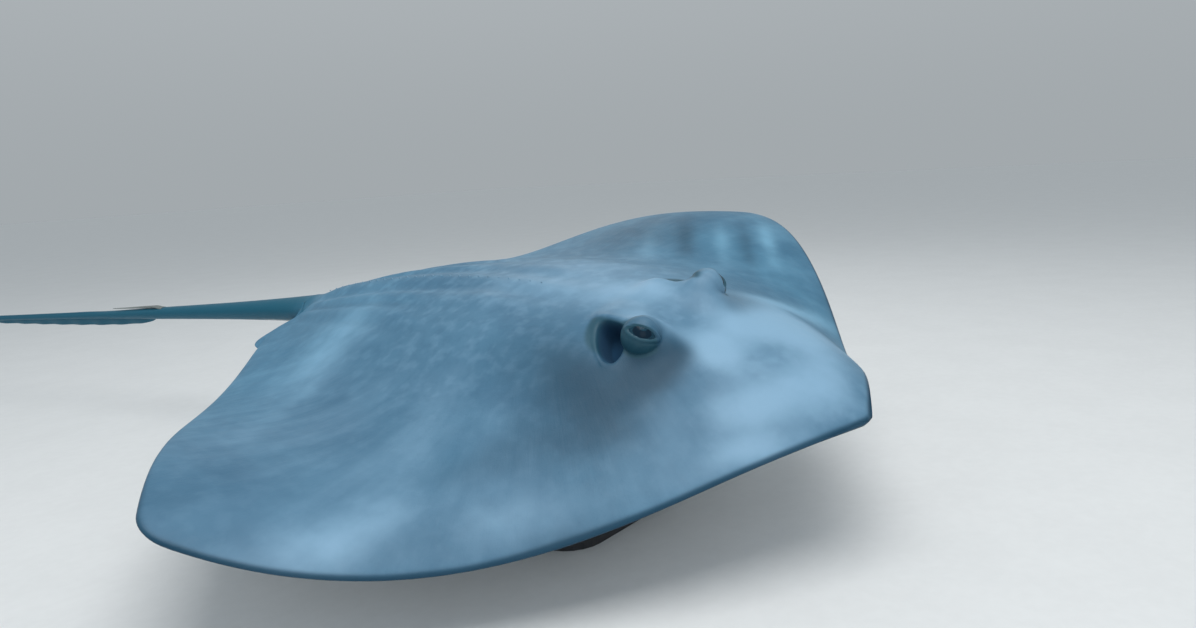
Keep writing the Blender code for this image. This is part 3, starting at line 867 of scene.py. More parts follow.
@dataclass(frozen=True)
class Shader:
    """The plain numbers of a Principled shader."""

    roughness: float
    metallic: float = 0.0
    coat: float = 0.0
    coat_roughness: float = 0.1
    specular: float = 0.5

    def start(self, name: str) -> tuple[Material, Nodes, bpy.types.Node]:
        """A new material with these numbers.

        Args:
            name: the material's name.

        Returns:
            The material, its tree and its shader node.
        """
        made = bpy.data.materials.new(name)
        made.use_nodes = True
        shader = made.node_tree.nodes["Principled BSDF"]
        for socket, value in (("Roughness", self.roughness), ("Metallic", self.metallic),
                              ("Coat Weight", self.coat), ("Coat Roughness", self.coat_roughness),
                              ("Specular IOR Level", self.specular)):
            shader.inputs[socket].default_value = value
        return made, Nodes(made.node_tree), shader

    def uneven(self, work: Nodes, noise: object, swing: float) -> object:
        """The roughness, wandering with a noise by a swing in all."""
        return work.math("MULTIPLY_ADD", noise, swing, self.roughness - swing / 2)


@dataclass(frozen=True)
class Zone:
    """How one zone that is stored on the skin colours it; its edge is stirred by noise."""

    name: str
    tone: Tone
    low: float
    high: float
    stir: float
    cover: float = 1.0

    def mask(self, work: Nodes, wobble: object) -> object:
        """How much of the zone shows.

        Args:
            work: the material's tree.
            wobble: the noise that stirs the edge.

        Returns:
            The share, from 0 to the zone's cover.
        """
        value = work.math("ADD", work.attribute(self.name), work.times(wobble, self.stir))
        return work.times(work.step(value, self.low, self.high), self.cover)


@dataclass(frozen=True)
class SkinFinish:
    """Damp, cloudy skin: slate blue above, white below, paler over the head and fin edges, partly as
    painted highlights, and darker in places, partly as painted shade.
    """

    shader: Shader = Shader(roughness=0.42, specular=0.26)
    sheen_swing: float = 0.16
    bump: float = 0.22
    bump_depth: float = 0.0012
    ray_relief: float = 0.4
    smooth_rays: float = 0.6
    spots: tuple[tuple[float, Tone, float], ...] = (
        (62.0, Tone.SLATE_DEEP, 0.42), (47.0, Tone.MIST_AND_HIGHLIGHT, 0.20))
    spot_levels: tuple[float, float] = (0.42, 0.72)
    streaks: tuple[float, float] = (26.0, 0.18)
    streak_levels: tuple[float, float] = (0.40, 0.66)
    bands: tuple[float, float] = (4.5, 0.16)
    band_levels: tuple[float, float] = (0.42, 0.72)
    wobble_scale: float = 22.0
    sheen_scale: float = 60.0
    # The first wash lays paler markings and painted highlights; the second lays darker markings and painted
    # shade.
    washes: tuple[Zone, ...] = (Zone("pale_and_highlight", Tone.MIST_AND_HIGHLIGHT, 0.0, 1.0, 0.50, 0.90),
                                Zone("dusky_and_shade", Tone.DUSK_AND_SHADE, 0.05, 1.0, 0.3, 0.90))
    # The tail's own dark colour, then the lids' painted shade.
    darks_and_shade: tuple[Zone, ...] = (Zone("tail", Tone.TAIL, 0.0, 1.0, 0.2),
                               Zone("lid", Tone.LID, 0.1, 1.0, 0.2))
    belly: Zone = Zone("belly", Tone.MILK, 0.15, 0.85, 0.45)
    belly_speckle: float = 0.10

    def make(self, clouds: bpy.types.NodeTree) -> Material:
        """Builds the material.

        Args:
            clouds: the shared skin grain.

        Returns:
            The material.
        """
        made, work, shader = self.shader.start("ray skin")
        place, rays = work.place(), work.attribute("rays")
        back = work.add("ShaderNodeGroup", {}, node_tree=clouds)
        under = work.add("ShaderNodeGroup", {}, node_tree=clouds)
        for group in (back, under):
            work.feed(place, group.inputs["Place"])
        for socket, value in (("Light", self.belly.tone.rgba), ("Deep", Tone.MILK_DEEP.rgba),
                              ("Speckle", self.belly_speckle)):
            work.feed(value, under.inputs[socket])
        colour = self.spotted(work, place, rays, back.outputs["Color"])
        fan = work.attribute("fan", "Vector")
        streak = work.step(work.noise(fan, self.streaks[0], 3.0, 0.6), *self.streak_levels)
        streak = work.times(streak, rays)
        colour = work.mix(work.times(streak, self.streaks[1]), colour, Tone.SLATE_DEEP.rgba)
        band = work.step(work.noise(fan, self.bands[0], 2.0, 0.5), *self.band_levels)
        band = work.times(band, rays)
        colour = work.mix(work.times(band, self.bands[1]), colour, Tone.MIST_AND_HIGHLIGHT.rgba)
        wobble = work.math("SUBTRACT", work.noise(place, self.wobble_scale, 3.0), 0.5)
        for zone in self.washes:
            colour = work.mix(zone.mask(work, wobble), colour, zone.tone.rgba)
        colour = work.mix(1.0, colour, work.attribute("cast", "Vector"), "MULTIPLY")
        for zone in self.darks_and_shade:
            colour = work.mix(zone.mask(work, wobble), colour, zone.tone.rgba)
        colour = work.mix(self.belly.mask(work, wobble), colour, under.outputs["Color"])
        # Painted shade inside the spiracle holes, which are also left matte.
        pit = work.attribute("pit")
        work.feed(work.mix(pit, colour, Tone.PIT_SHADE.rgba), shader.inputs["Base Color"])
        height = work.math("ADD", back.outputs["Relief"], work.times(streak, self.ray_relief))
        work.feed(work.relief(height, self.bump, self.bump_depth), shader.inputs["Normal"])
        sheen = self.shader.uneven(work, work.noise(place, self.sheen_scale, 3.0), self.sheen_swing)
        work.feed(work.math("MAXIMUM", sheen, pit), shader.inputs["Roughness"])
        return made

    def spotted(self, work: Nodes, place: object, rays: object, colour: object) -> object:
        """Lays small soft spots over the skin, fewer where the fin rays show.

        Args:
            work: the material's tree.
            place: where the noise is read.
            rays: how much the fin rays show.
            colour: the skin's colour.

        Returns:
            The colour with its spots.
        """
        plain = work.math("SUBTRACT", 1.0, work.times(rays, self.smooth_rays))
        for scale, tone, share in self.spots:
            spots = work.step(work.noise(place, scale, 2.5, 0.55), *self.spot_levels)
            colour = work.mix(work.times(work.times(spots, plain), share), colour, tone.rgba)
        return colour


@dataclass(frozen=True)
class EyeFinish:
    """A wet eyeball with a dark, hooded pupil; its sizes are angles as seen from the ball's middle."""

    shader: Shader = Shader(roughness=0.20, coat=0.06, coat_roughness=0.05, specular=0.14)
    pupil_long: float = 0.52
    pupil_high: float = 0.30
    hood_up: float = 0.27
    pupil_edge: tuple[float, float] = (0.85, 1.10)
    hood_half: float = 0.22
    hood_edge: tuple[float, float] = (0.85, 1.15)
    iris_edge: tuple[float, float] = (2.2, 4.2)
    fleck_scale: float = 900.0
    fleck_levels: tuple[float, float] = (0.40, 0.65)

    @staticmethod
    def oval(work: Nodes, across: object, up: object, long: float, high: float) -> object:
        """Measures places against an oval.

        Args:
            work: the material's tree.
            across: places along the oval.
            up: places across it.
            long: half its length.
            high: half its height.

        Returns:
            A level that is 0 at the oval's middle and 1 on its edge.
        """
        sides = (work.math("POWER", work.math("DIVIDE", value, half), 2.0)
                 for value, half in ((across, long), (up, high)))
        return work.math("ADD", *sides)

    def make(self) -> Material:
        """Builds the material.

        Returns:
            The material.
        """
        made, work, shader = self.shader.start("ray eye")
        look = work.add("ShaderNodeSeparateXYZ", {0: work.attribute("look", "Vector")})
        across, up = look.outputs[0], look.outputs[1]
        oval = self.oval(work, across, up, self.pupil_long, self.pupil_high)
        hood_up = work.math("SUBTRACT", up, self.hood_up)
        hood = self.oval(work, across, hood_up, self.hood_half, self.hood_half)
        pupil = work.times(work.math("SUBTRACT", 1.0, work.step(oval, *self.pupil_edge)),
                           work.step(hood, *self.hood_edge))
        fleck = work.step(work.noise(work.place(), self.fleck_scale, 3.0, 0.7), *self.fleck_levels)
        iris = work.mix(fleck, Tone.IRIS.rgba, Tone.IRIS_PALE.rgba)
        iris = work.mix(work.step(oval, *self.iris_edge), iris, Tone.LID.rgba)
        work.feed(work.mix(pupil, iris, Tone.PUPIL.rgba), shader.inputs["Base Color"])
        return made


@dataclass(frozen=True)
class PlainFinish:
    """A finish of one colour, clouded a little and with a fine relief."""

    name: str
    tone: Tone
    shader: Shader
    grain: float = 300.0
    stretch: tuple[float, float, float] = (1.0, 1.0, 1.0)
    shift: float = 0.25
    bump: float = 0.15
    bump_depth: float = 0.0004
    cloud_scale: float = 9.0
    swing: float = 0.14

    def make(self) -> Material:
        """Builds the material.

        Returns:
            The material.
        """
        made, work, shader = self.shader.start(self.name)
        place = work.place()
        drawn = work.add("ShaderNodeMapping", {"Vector": place, "Scale": self.stretch}).outputs[0]
        fine = work.noise(drawn, self.grain, 3.0, 0.6)
        broad = work.noise(place, self.cloud_scale, 3.0, 0.5)
        share = work.step(work.math("ADD", work.times(fine, 0.5), work.times(broad, 0.5)), 0.3, 0.7)
        dark, light = self.tone.scaled(1 - self.shift), self.tone.scaled(1 + self.shift)
        work.feed(work.mix(share, dark, light), shader.inputs["Base Color"])
        work.feed(self.shader.uneven(work, fine, self.swing), shader.inputs["Roughness"])
        work.feed(work.relief(fine, self.bump, self.bump_depth), shader.inputs["Normal"])
        return made


# ------------------------------------------------------------------------------------------ skin
@dataclass(frozen=True)
class Patch:
    """A soft oval patch of paler or darker colour; some are markings of the skin, some are painted
    highlights (paler) and painted shade (darker). Places and sizes are shares of the disc's width.
    """

    out: float
    back: float
    wide: float
    long: float
    turn: float
    right: float
    left: float

    def cover(self, out: Array, back: Array) -> Array:
        """How much of the patch shows.

        Args:
            out: places to the left.
            back: places behind the snout.

        Returns:
            The shares, for both sides of the body.
        """
        total = np.zeros_like(out)
        angle = math.radians(self.turn)
        for side, strength in ((-1, self.right), (1, self.left)):
            across, along = out * side - self.out, back - self.back
            u = across * math.cos(angle) + along * math.sin(angle)
            v = along * math.cos(angle) - across * math.sin(angle)
            total += strength * np.exp(-(u / self.wide) ** 2 - (v / self.long) ** 2)
        return total


# Paler markings on the wings, and painted highlights on the cheeks, the head front, the crown, the ridge
# and the crest before the far wing.
PALE_AND_HIGHLIGHT_PATCHES = (
    Patch(0.390, 0.300, 0.085, 0.032, 16.0, 0.58, 0.20),
    Patch(0.275, 0.197, 0.060, 0.026, 40.0, 0.40, 0.20),
    Patch(0.250, 0.350, 0.140, 0.036, -20.0, 0.33, 0.15),
    Patch(0.330, 0.515, 0.090, 0.032, -30.0, 0.22, 0.10),
    Patch(0.150, 0.630, 0.120, 0.065, -25.0, 0.60, 0.10),
    Patch(0.028, 0.145, 0.030, 0.030, 0.0, 1.00, 0.55),
    Patch(0.070, 0.085, 0.050, 0.030, 25.0, 0.90, 0.60),
    Patch(0.110, 0.062, 0.045, 0.016, 38.0, 0.75, 0.20),
    Patch(0.000, 0.350, 0.045, 0.140, 0.0, 0.10, 0.36),
    Patch(0.110, 0.270, 0.060, 0.080, 0.0, 0.00, 0.30),
    Patch(0.070, 0.385, 0.040, 0.070, 0.0, 0.00, 0.30),
    Patch(0.000, 0.050, 0.045, 0.042, 0.0, 0.36, 0.40),
    Patch(0.040, 0.215, 0.020, 0.030, 0.0, 0.50, 0.00),
    Patch(0.028, 0.260, 0.030, 0.055, 0.0, 0.10, 0.50),
    Patch(0.078, 0.138, 0.060, 0.045, 0.0, 0.00, 0.95),
    Patch(0.160, 0.165, 0.080, 0.018, -18.0, 0.00, 0.80),
    Patch(0.275, 0.310, 0.085, 0.013, 32.0, 0.00, 0.45),
    Patch(0.220, 0.390, 0.070, 0.015, 32.0, 0.00, 0.42),
    Patch(0.330, 0.270, 0.080, 0.013, 32.0, 0.00, 0.45),
)
# Darker markings, and painted shade below and ahead of each eye and over the raised far wing.
DUSKY_AND_SHADE_PATCHES = (
    Patch(0.198, 0.205, 0.058, 0.082, 0.0, 0.32, 0.00),
    Patch(0.055, 0.315, 0.050, 0.050, 0.0, 0.22, 0.00),
    Patch(0.084, 0.180, 0.034, 0.030, 25.0, 1.00, 0.50),
    Patch(0.052, 0.168, 0.019, 0.015, 0.0, 0.46, 0.30),
    Patch(0.120, 0.248, 0.045, 0.050, 0.0, 0.60, 0.20),
    Patch(0.146, 0.190, 0.045, 0.050, 0.0, 0.50, 0.20),
    Patch(0.249, 0.268, 0.075, 0.034, 35.0, 0.30, 0.15),
    Patch(0.130, 0.320, 0.050, 0.070, 0.0, 0.30, 0.10),
    Patch(0.276, 0.159, 0.055, 0.014, 40.0, 0.35, 0.20),
    Patch(0.470, 0.410, 0.050, 0.034, 0.0, 0.25, 0.20),
    Patch(0.260, 0.440, 0.140, 0.110, 0.0, 0.00, 0.62),
    Patch(0.250, 0.350, 0.090, 0.014, 32.0, 0.00, 0.38),
    Patch(0.305, 0.290, 0.090, 0.012, 32.0, 0.00, 0.38),
    Patch(0.080, 0.660, 0.050, 0.080, 0.0, 0.00, 0.25),
)

FLESH_NODES = ("head", "trunk", "pectoral_fin_left", "pectoral_fin_right", "pelvic_fin_left",
               "pelvic_fin_right", "tail_base", "tail_middle", "tail_whip_front", "tail_whip_end",
               "tail_fold")


@dataclass(frozen=True)
class Swell:
    """A low rise on both sides of the back."""

    height: float
    out: float
    wide: float
    back: float
    long: float

    def rise(self, out: Array, back: Array) -> Array:
        """Its height at places out from the middle and behind the snout."""
        return self.height * hump(out, self.out, self.wide) * hump(back, self.back, self.long)


@dataclass(frozen=True)
class BackRelief:
    """Small forms on the back: ridge, shoulders, gill chambers, and long folds near the tail."""

    ridge: float = 0.0030
    ridge_wide: float = 0.012 * W
    groove: float = 0.0022
    groove_out: float = 0.030 * W
    run: tuple[float, ...] = widths(0.28, 0.42, 0.80, 0.87)
    chamber: Swell = Swell(0.0050, *widths(0.105, 0.035, 0.36, 0.10))
    shoulder: Swell = Swell(0.0035, *widths(0.045, 0.025, 0.44, 0.05))
    snout: Swell = Swell(0.0030, *widths(0.0, 0.030, 0.085, 0.05))
    inland: float = 0.03 * W
    fold: float = 0.0023
    fold_run: tuple[float, ...] = widths(0.46, 0.60, 0.82, 0.87)
    fan_places: tuple[float, ...] = widths(0.5, 0.87)
    fan_widths: tuple[float, float] = (0.16, 0.07)
    fan_waves: float = 21.0
    sway: float = 0.8
    sways: float = 13.0
    fan_middle: float = 0.55
    fan_spread: float = 0.36

    def folds(self, x: Array, y: Array) -> Array:
        """Long folds of skin beside the ridge that draw together at the tail.

        Args:
            x: places to the left.
            y: places behind the snout.

        Returns:
            The folds, from -1 in a trough to 1 on a crest.
        """
        fan = np.abs(x) / W / through(self.fan_places, self.fan_widths, y)
        waves = np.sin(fan * self.fan_waves + self.sway * np.sin(y * self.sways))
        return waves * within(*self.fold_run, y) * hump(fan, self.fan_middle, self.fan_spread)

    def rise(self, x: Array, y: Array, depth: Array) -> Array:
        """Height of all these forms.

        Args:
            x: places to the left.
            y: places behind the snout.
            depth: distance from the disc's edge at those places.

        Returns:
            The height that they add to the back.
        """
        out = np.abs(x)
        ridge = self.ridge * hump(out, 0.0, self.ridge_wide)
        groove = self.groove * hump(out, self.groove_out, self.ridge_wide)
        total = (ridge - groove) * within(*self.run, y) + self.fold * self.folds(x, y)
        total = total + sum(swell.rise(out, y) for swell in (self.chamber, self.shoulder, self.snout))
        return total * between(0.0, self.inland, depth)


@dataclass(frozen=True)
class BellyRelief:
    """Mouth, nasal flap, nostrils and gill slits, as depth added to the belly."""

    head: HeadPlan = HeadPlan()
    mouth_bow: float = 0.10
    mouth_ends: tuple[float, float] = (0.92, 1.06)
    lip: float = 0.0018
    lip_behind: tuple[float, float] = (0.0065, 0.0045)
    lip_ahead: tuple[float, float] = (0.0060, 0.0040)
    slit: float = 0.0075
    slit_half: float = 0.0024
    flap: float = 0.0030
    flap_sides: tuple[float, ...] = widths(0.030, 0.037)
    flap_front: tuple[float, ...] = widths(0.145, 0.153)
    flap_short: float = 0.0075 * W
    fringe: float = 0.0012
    fringes: float = 900.0
    nostril_long: tuple[float, float] = (0.9, 0.45)
    nostril_wide: tuple[float, float] = (0.8, -0.4)
    nostril_oval: float = 0.75
    nostril_deep: float = 0.0075
    nostril_wall: tuple[float, ...] = widths(0.0045, 0.0095)
    nostril_lip: float = 0.0014
    nostril_ring: tuple[float, ...] = widths(0.0115, 0.0022)
    gill_deep: float = 0.0050
    gill_half: float = 0.0017
    gill_lip: float = 0.0016
    gill_lip_ahead: float = 0.0046
    gill_lip_half: float = 0.0030
    gill_bow: float = 2.2
    gill_ends: tuple[float, float] = (0.42, 0.56)
    gill_lean: tuple[float, float] = (-14.0, 22.0)

    def mouth(self, out: Array, y: Array) -> Array:
        """The slit of the mouth between two low lips.

        Args:
            out: places out from the middle.
            y: places behind the snout.

        Returns:
            Its relief.
        """
        half = self.head.mouth_half
        line = self.head.mouth_back - self.mouth_bow * out * out / half
        wide = 1 - between(half * self.mouth_ends[0], half * self.mouth_ends[1], out)
        (behind, behind_half), (ahead, ahead_half) = self.lip_behind, self.lip_ahead
        lips = self.lip * (hump(y, line + behind, behind_half) + hump(y, line - ahead, ahead_half))
        return (lips - self.slit * hump(y, line, self.slit_half)) * wide

    def nose(self, out: Array, y: Array) -> Array:
        """The flap over the mouth, with a fringed edge, and the nostrils beside it.

        Args:
            out: places out from the middle.
            y: places behind the snout.

        Returns:
            Their relief.
        """
        edge = self.head.mouth_back - self.flap_short + self.fringe * np.cos(out * self.fringes)
        flap = self.flap * (1 - between(*self.flap_sides, out)) * between(*self.flap_front, y)
        flap = flap * (1 - between(-self.fringe, self.fringe, y - edge))
        off, behind = out - self.head.nostril_out, y - self.head.nostril_back
        along = off * self.nostril_long[0] + behind * self.nostril_long[1]
        across = behind * self.nostril_wide[0] + off * self.nostril_wide[1]
        ring = np.hypot(along, across * self.nostril_oval)
        pit = self.nostril_lip * hump(ring, *self.nostril_ring)
        return flap + pit - self.nostril_deep * (1 - between(*self.nostril_wall, ring))

    def gill(self, out: Array, y: Array, index: int) -> Array:
        """One pair of gill slits, each with a low lip ahead of it.

        Args:
            out: places out from the middle.
            y: places behind the snout.
            index: which pair, from the front.

        Returns:
            Its relief.
        """
        head, share = self.head, index / (self.head.gill_pairs - 1)
        off = out - head.gill_out(share)
        lean = math.tan(math.radians(self.gill_lean[0] + self.gill_lean[1] * share))
        line = head.gill_first_back + head.gill_step * index + lean * off + self.gill_bow * off ** 2
        near = 1 - between(*(head.gill_length * end for end in self.gill_ends), np.abs(off))
        lip = self.gill_lip * hump(y, line - self.gill_lip_ahead, self.gill_lip_half)
        return (lip - self.gill_deep * hump(y, line, self.gill_half)) * near

    def rise(self, x: Array, y: Array) -> Array:
        """Relief of all these forms.

        Args:
            x: places to the left.
            y: places behind the snout.

        Returns:
            The depth that they add to the belly.
        """
        out = np.abs(x)
        gills = sum(self.gill(out, y, index) for index in range(self.head.gill_pairs))
        return self.mouth(out, y) + self.nose(out, y) + gills


@dataclass(frozen=True)
class TailPlan:
    """The tail as a tube, with a low keel on its whip."""

    around: int = 44
    rings: int = 150
    start: float = 0.883 * W
    end: float = 2.298 * W
    crowding: float = 1.25
    tip_share: float = 0.006
    keel: float = 0.0016
    keel_narrow: float = 0.12
    keel_run: tuple[float, ...] = widths(1.34, 1.40, 1.9, 2.1)
    rim: float = 0.02


@dataclass(frozen=True)
class FoldPlan:
    """The long fin fold under the tail."""

    around: int = 12
    rings: int = 120
    front: float = 1.23 * W
    back: float = 1.80 * W
    deep: float = 0.0150 * W
    deepest: float = 0.6
    fullness: float = 0.8
    shallower: float = 0.45
    end_power: int = 60
    thin: float = 0.0007
    root_shares: tuple[float, float] = (0.8, 0.3)
    ripple: float = 0.0012
    ripples: float = 70.0
    sunk: float = 0.0012
    edge: float = 0.0010
    rim: float = 0.02
    aside: float = 0.12 * W


@dataclass(frozen=True)
class PelvicPlan:
    """A pelvic fin seen from above, and how far it hangs under the disc."""

    around: int = 40
    rings: int = 36
    front: float = 0.800 * W
    back: float = 0.905 * W
    inner: float = 0.018 * W
    outer: float = 0.1190 * W
    fullness: float = 0.9
    thickness: float = 0.0062
    thin_by: float = 1.05
    edge: float = 0.0004
    ray: float = 0.00045
    rays: float = 95.0
    hang_at: tuple[float, ...] = widths(0.79, 0.845, 0.877, 0.915)
    hang: tuple[float, ...] = (0.0150, 0.0125, 0.0100, 0.0085)
    tip_hang: float = 0.0030
    rims: tuple[float, float] = (0.03, 0.004)
    aside: float = 0.60 * W


@dataclass(frozen=True)
class LidPlan:
    """The skin over an eyeball; rings count from 0 at the opening's middle to 1 at its edge."""

    reach: float = 2.4
    thick: float = 0.0013
    roll: float = 0.0006
    roll_ring: tuple[float, float] = (1.28, 0.20)
    crease: float = 0.0003
    crease_ring: tuple[float, float] = (1.75, 0.16)
    upper_drop: float = 1.25
    no_ring: float = 9.0
    soft: float = 0.0035
    soft_inward: float = 0.0085
    inward: tuple[float, float, float] = (-0.8, 0.15, 0.6)
    inward_run: tuple[float, float] = (-0.1, 0.7)
    sunk: float = 0.93
    opening: tuple[float, float] = (0.88, 1.14)
    # Painted shade: the lids' dark colour on the dome's lower outer side, left off its top.
    dark_reach: tuple[float, float] = (1.12, 1.40)
    outward: tuple[float, float, float] = (1.0, -0.15, 0.0)
    outward_run: tuple[float, float] = (0.05, 0.50)
    bare: float = 0.85
    bare_above: tuple[float, float] = (0.50, 0.90)
    bare_ring: tuple[float, float] = (1.1, 1.5)


@dataclass(frozen=True)
class SpiraclePlan:
    """The breathing hole behind an eye; rings count from 0 at its middle to 1 at its edge."""

    facing: tuple[float, float, float] = (0.62, -0.05, 0.78)
    half_at: tuple[float, float, float] = (-1.2, 0.0, 1.2)
    halves: tuple[float, float, float] = (1.30, 1.0, 0.52)
    squareness: float = 2.6
    reach: float = 0.03
    wall: tuple[float, float] = (0.55, 1.0)
    # How far out the painted shade in the hole reaches.
    dark: tuple[float, float] = (0.80, 1.02)
    lip: float = 0.0009
    lip_ring: tuple[float, float] = (1.12, 0.16)
    inner_lip: float = 0.0022
    inner_lip_at: tuple[float, float] = (-1.20, 0.16)
    inner_lip_ends: tuple[float, float] = (0.8, 1.3)


@dataclass(frozen=True)
class HollowShadePlan:
    """Painted shade in the recess behind an eye, in shares of the disc's width."""

    out: float = 0.054
    back: float = 0.240
    wide: float = 0.043
    long: float = 0.037
    edge: tuple[float, float] = (0.82, 1.08)
    inner: tuple[float, float] = (0.047, 0.056)
    strength: float = 0.85

    def cover(self, out: Array, back: Array) -> Array:
        """How much places out from the middle and behind the snout lie in it."""
        ring = np.hypot((out - self.out) / self.wide, (back - self.back) / self.long)
        return self.strength * (1 - between(*self.edge, ring)) * between(*self.inner, out)


@dataclass(frozen=True)
class FanPlan:
    """How the fin rays fan out from the shoulder, in shares of the disc's width."""

    back: float = 0.40
    out: float = 0.02
    turn_scale: float = 1.6
    reach_scale: float = 0.9
    side_scale: float = 3.0
    start: tuple[float, float] = (0.14, 0.30)
    beside: tuple[float, float] = (0.02, 0.07)
    end: float = 0.879


@dataclass(frozen=True)
class PatternPlan:
    """Where the skin's colours change, painted shade along the rim and where the folds dip included, in
    shares of the disc's width, and how strongly.
    """

    # Painted shade along the disc's rim, strongest at the leading edges.
    edge_shade_wide: float = 0.0036
    edge_shade_front: float = 0.95
    edge_shade_drop: float = 0.55
    edge_shade_run: tuple[float, float] = (0.36, 0.42)
    # Painted shade where the folds near the tail dip.
    trough: float = 0.34
    tail_run: tuple[float, float] = (0.80, 0.93)
    tail_side: tuple[float, float] = (0.026, 0.046)
    white_margin: tuple[float, float] = (-0.004, 0.046)
    tail_white_side: tuple[float, float] = (-0.85, -0.25)
    tail_white_run: tuple[float, float] = (0.88, 1.04)
    tube_from: float = 0.8771
    tube_half: float = 0.031
    rear_run: tuple[float, float] = (0.42, 0.74)
    rear_cast: tuple[float, float, float] = (-0.11, 0.10, 0.13)
    left_run: tuple[float, float] = (0.04, 0.28)
    left_cast: tuple[float, float, float] = (-0.22, 0.00, 0.02)


@dataclass
class Skin:
    """The one skin of head, trunk, fins and tail."""

    form: RayForm
    back_relief: BackRelief = BackRelief()
    belly_relief: BellyRelief = BellyRelief()
    tail_plan: TailPlan = TailPlan()
    fold_plan: FoldPlan = FoldPlan()
    pelvic_plan: PelvicPlan = PelvicPlan()
    lids: LidPlan = LidPlan()
    hole: SpiraclePlan = SpiraclePlan()
    hollow_shade: HollowShadePlan = HollowShadePlan()
    fan: FanPlan = FanPlan()
    pattern: PatternPlan = PatternPlan()
    row_bands: tuple[tuple[float, int], ...] = (
        (0.02, 8), (0.12, 14), (0.30, 28), (0.375, 11), (0.41, 9), (0.80, 46), (0.855, 10), (0.877, 11))
    column_bands: tuple[tuple[float, int], ...] = ((0.30, 18), (0.90, 33), (0.985, 10), (1.0, 6))
    first_row: float = 0.0006 * W
    head_zone: tuple[float, ...] = widths(0.135, 0.22, 0.085)
    eye_zones: tuple[float, ...] = widths(0.040, 0.030)
    lid_zone: tuple[float, ...] = widths(0.008, 0.0165)
    mouth_zone: tuple[float, ...] = widths(0.065, 0.163, 0.030)
    gill_zone: float = 0.022 * W
    gill_run: float = 0.60
    head_end: float = 0.50 * W
    lid_end: float = 0.32 * W
    unwrapped_wide: float = 1.06 * W
    unwrapped_long: float = 2.32 * W
    map_start: tuple[float, float] = (0.25, 0.01)
    map_size: tuple[float, float] = (0.46, 0.98)
    map_halves: float = 0.5
    seam: float = 2e-5

    def sheet(self, name: str, upper: bool) -> Piece:
        """The disc's back or belly, still flat, refined where it has small features.

        Args:
            name: the object's name.
            upper: whether it is the back.

        Returns:
            The object.
        """
        rows = banded(self.first_row, [(share * W, count) for share, count in self.row_bands])
        half = banded(0.0, self.column_bands)
        columns = np.concatenate([-np.flip(half[1:]), half])
        made, across, along = grid(name, len(columns) - 1, len(rows) - 1)
        y = rows[np.rint(along * (len(rows) - 1)).astype(int)]
        x = columns[np.rint(across * (len(columns) - 1)).astype(int)] * self.form.reach(y)
        set_points(made, np.stack([x, y, 0 * x], -1))
        for zone in (self.back_zones() if upper else self.belly_zones()):
            refine(made, zone)
        flat = points_of(made)
        flat[:, 2] = 1.0 if upper else -1.0
        store(made, "flat", flat)
        store(made, "lay", flat)
        return made

    def back_zones(self) -> list[Callable[[Array, Array], Array]]:
        """Where the back needs smaller faces: the head, then each eye and spiracle, then closer still.

        Returns:
            One test of places for each round of cuts.
        """
        head, (half, middle, reach), (ahead, lid) = self.form.head, self.head_zone, self.lid_zone

        def near_eye(x: Array, y: Array) -> Array:
            """Distance from the nearer of an eye and a spiracle."""
            eye = np.hypot(np.abs(x) - head.eye_out, y - head.eye_back)
            return np.minimum(eye, np.hypot(np.abs(x) - head.spiracle_out, y - head.spiracle_back))

        return [lambda x, y: (np.abs(x) < half) & (np.abs(y - middle) < reach),
                lambda x, y: near_eye(x, y) < self.eye_zones[0],
                lambda x, y: near_eye(x, y) < self.eye_zones[1],
                lambda x, y: np.hypot(np.abs(x) - head.eye_out - ahead, y - head.eye_back + ahead) < lid]

    def belly_zones(self) -> list[Callable[[Array, Array], Array]]:
        """Where the belly needs smaller faces: mouth, nostrils and gill slits.

        Returns:
            One test of places for each round of cuts.
        """
        head, (half, middle, reach) = self.form.head, self.mouth_zone

        def small_forms(x: Array, y: Array) -> Array:
            """Tells which places lie round the mouth and nostrils, or along the gill slits.

            Args:
                x: places to the left.
                y: places behind the snout.

            Returns:
                True for those.
            """
            mouth = (np.abs(x) < half) & (np.abs(y - middle) < reach)
            t = (y - head.gill_first_back) / (head.gill_step * (head.gill_pairs - 1))
            gills = np.abs(np.abs(x) - head.gill_out(t)) < self.gill_zone
            return mouth | (gills & (np.abs(t - 0.5) < self.gill_run))

        return [small_forms, small_forms]

    def lift(self, piece: Piece) -> None:
        """Gives every point of the flat disc its height and puts it in the swimming pose.

        Args:
            piece: the disc.
        """
        flat = stored(piece, "flat")
        x, y, upper = flat[:, 0], flat[:, 1], flat[:, 2] > 0
        depth = self.form.inside(x, y)
        edge = (np.abs(x) > self.form.reach(y) * (1 - 1e-4)) | (y < self.first_row * 1.01)
        top, low = self.form.heights(x, y, depth)
        top = self.form.rooted(x, y, top + self.back_relief.rise(x, y, depth))
        low = self.form.rooted(x, y, low + self.belly_relief.rise(x, y))
        z = np.where(upper, top, -low)
        z[edge] = 0.0
        set_points(piece, self.form.pose(x, y, z))
        store(piece, "rim", depth)

    def settle(self, piece: Piece, posed: Sequence[Array], flat: Sequence[Array], lay: Sequence[Array],
               rim: Array) -> Piece:
        """Puts a tube or fin in the swimming pose, keeps what its finish reads, and closes its seam.

        Args:
            piece: the grid that it is made of.
            posed: its places on the outspread animal.
            flat: places that its pattern is read at, the last of them the side that it faces.
            lay: places in the unwrapped skin, the last of them the side that it faces.
            rim: its distance from the margin, for its shade.

        Returns:
            The piece.
        """
        set_points(piece, self.form.pose(*posed))
        store(piece, "flat", np.stack(flat, -1))
        store(piece, "lay", np.stack(lay, -1))
        store(piece, "rim", rim)
        merge(piece, self.seam)
        return piece

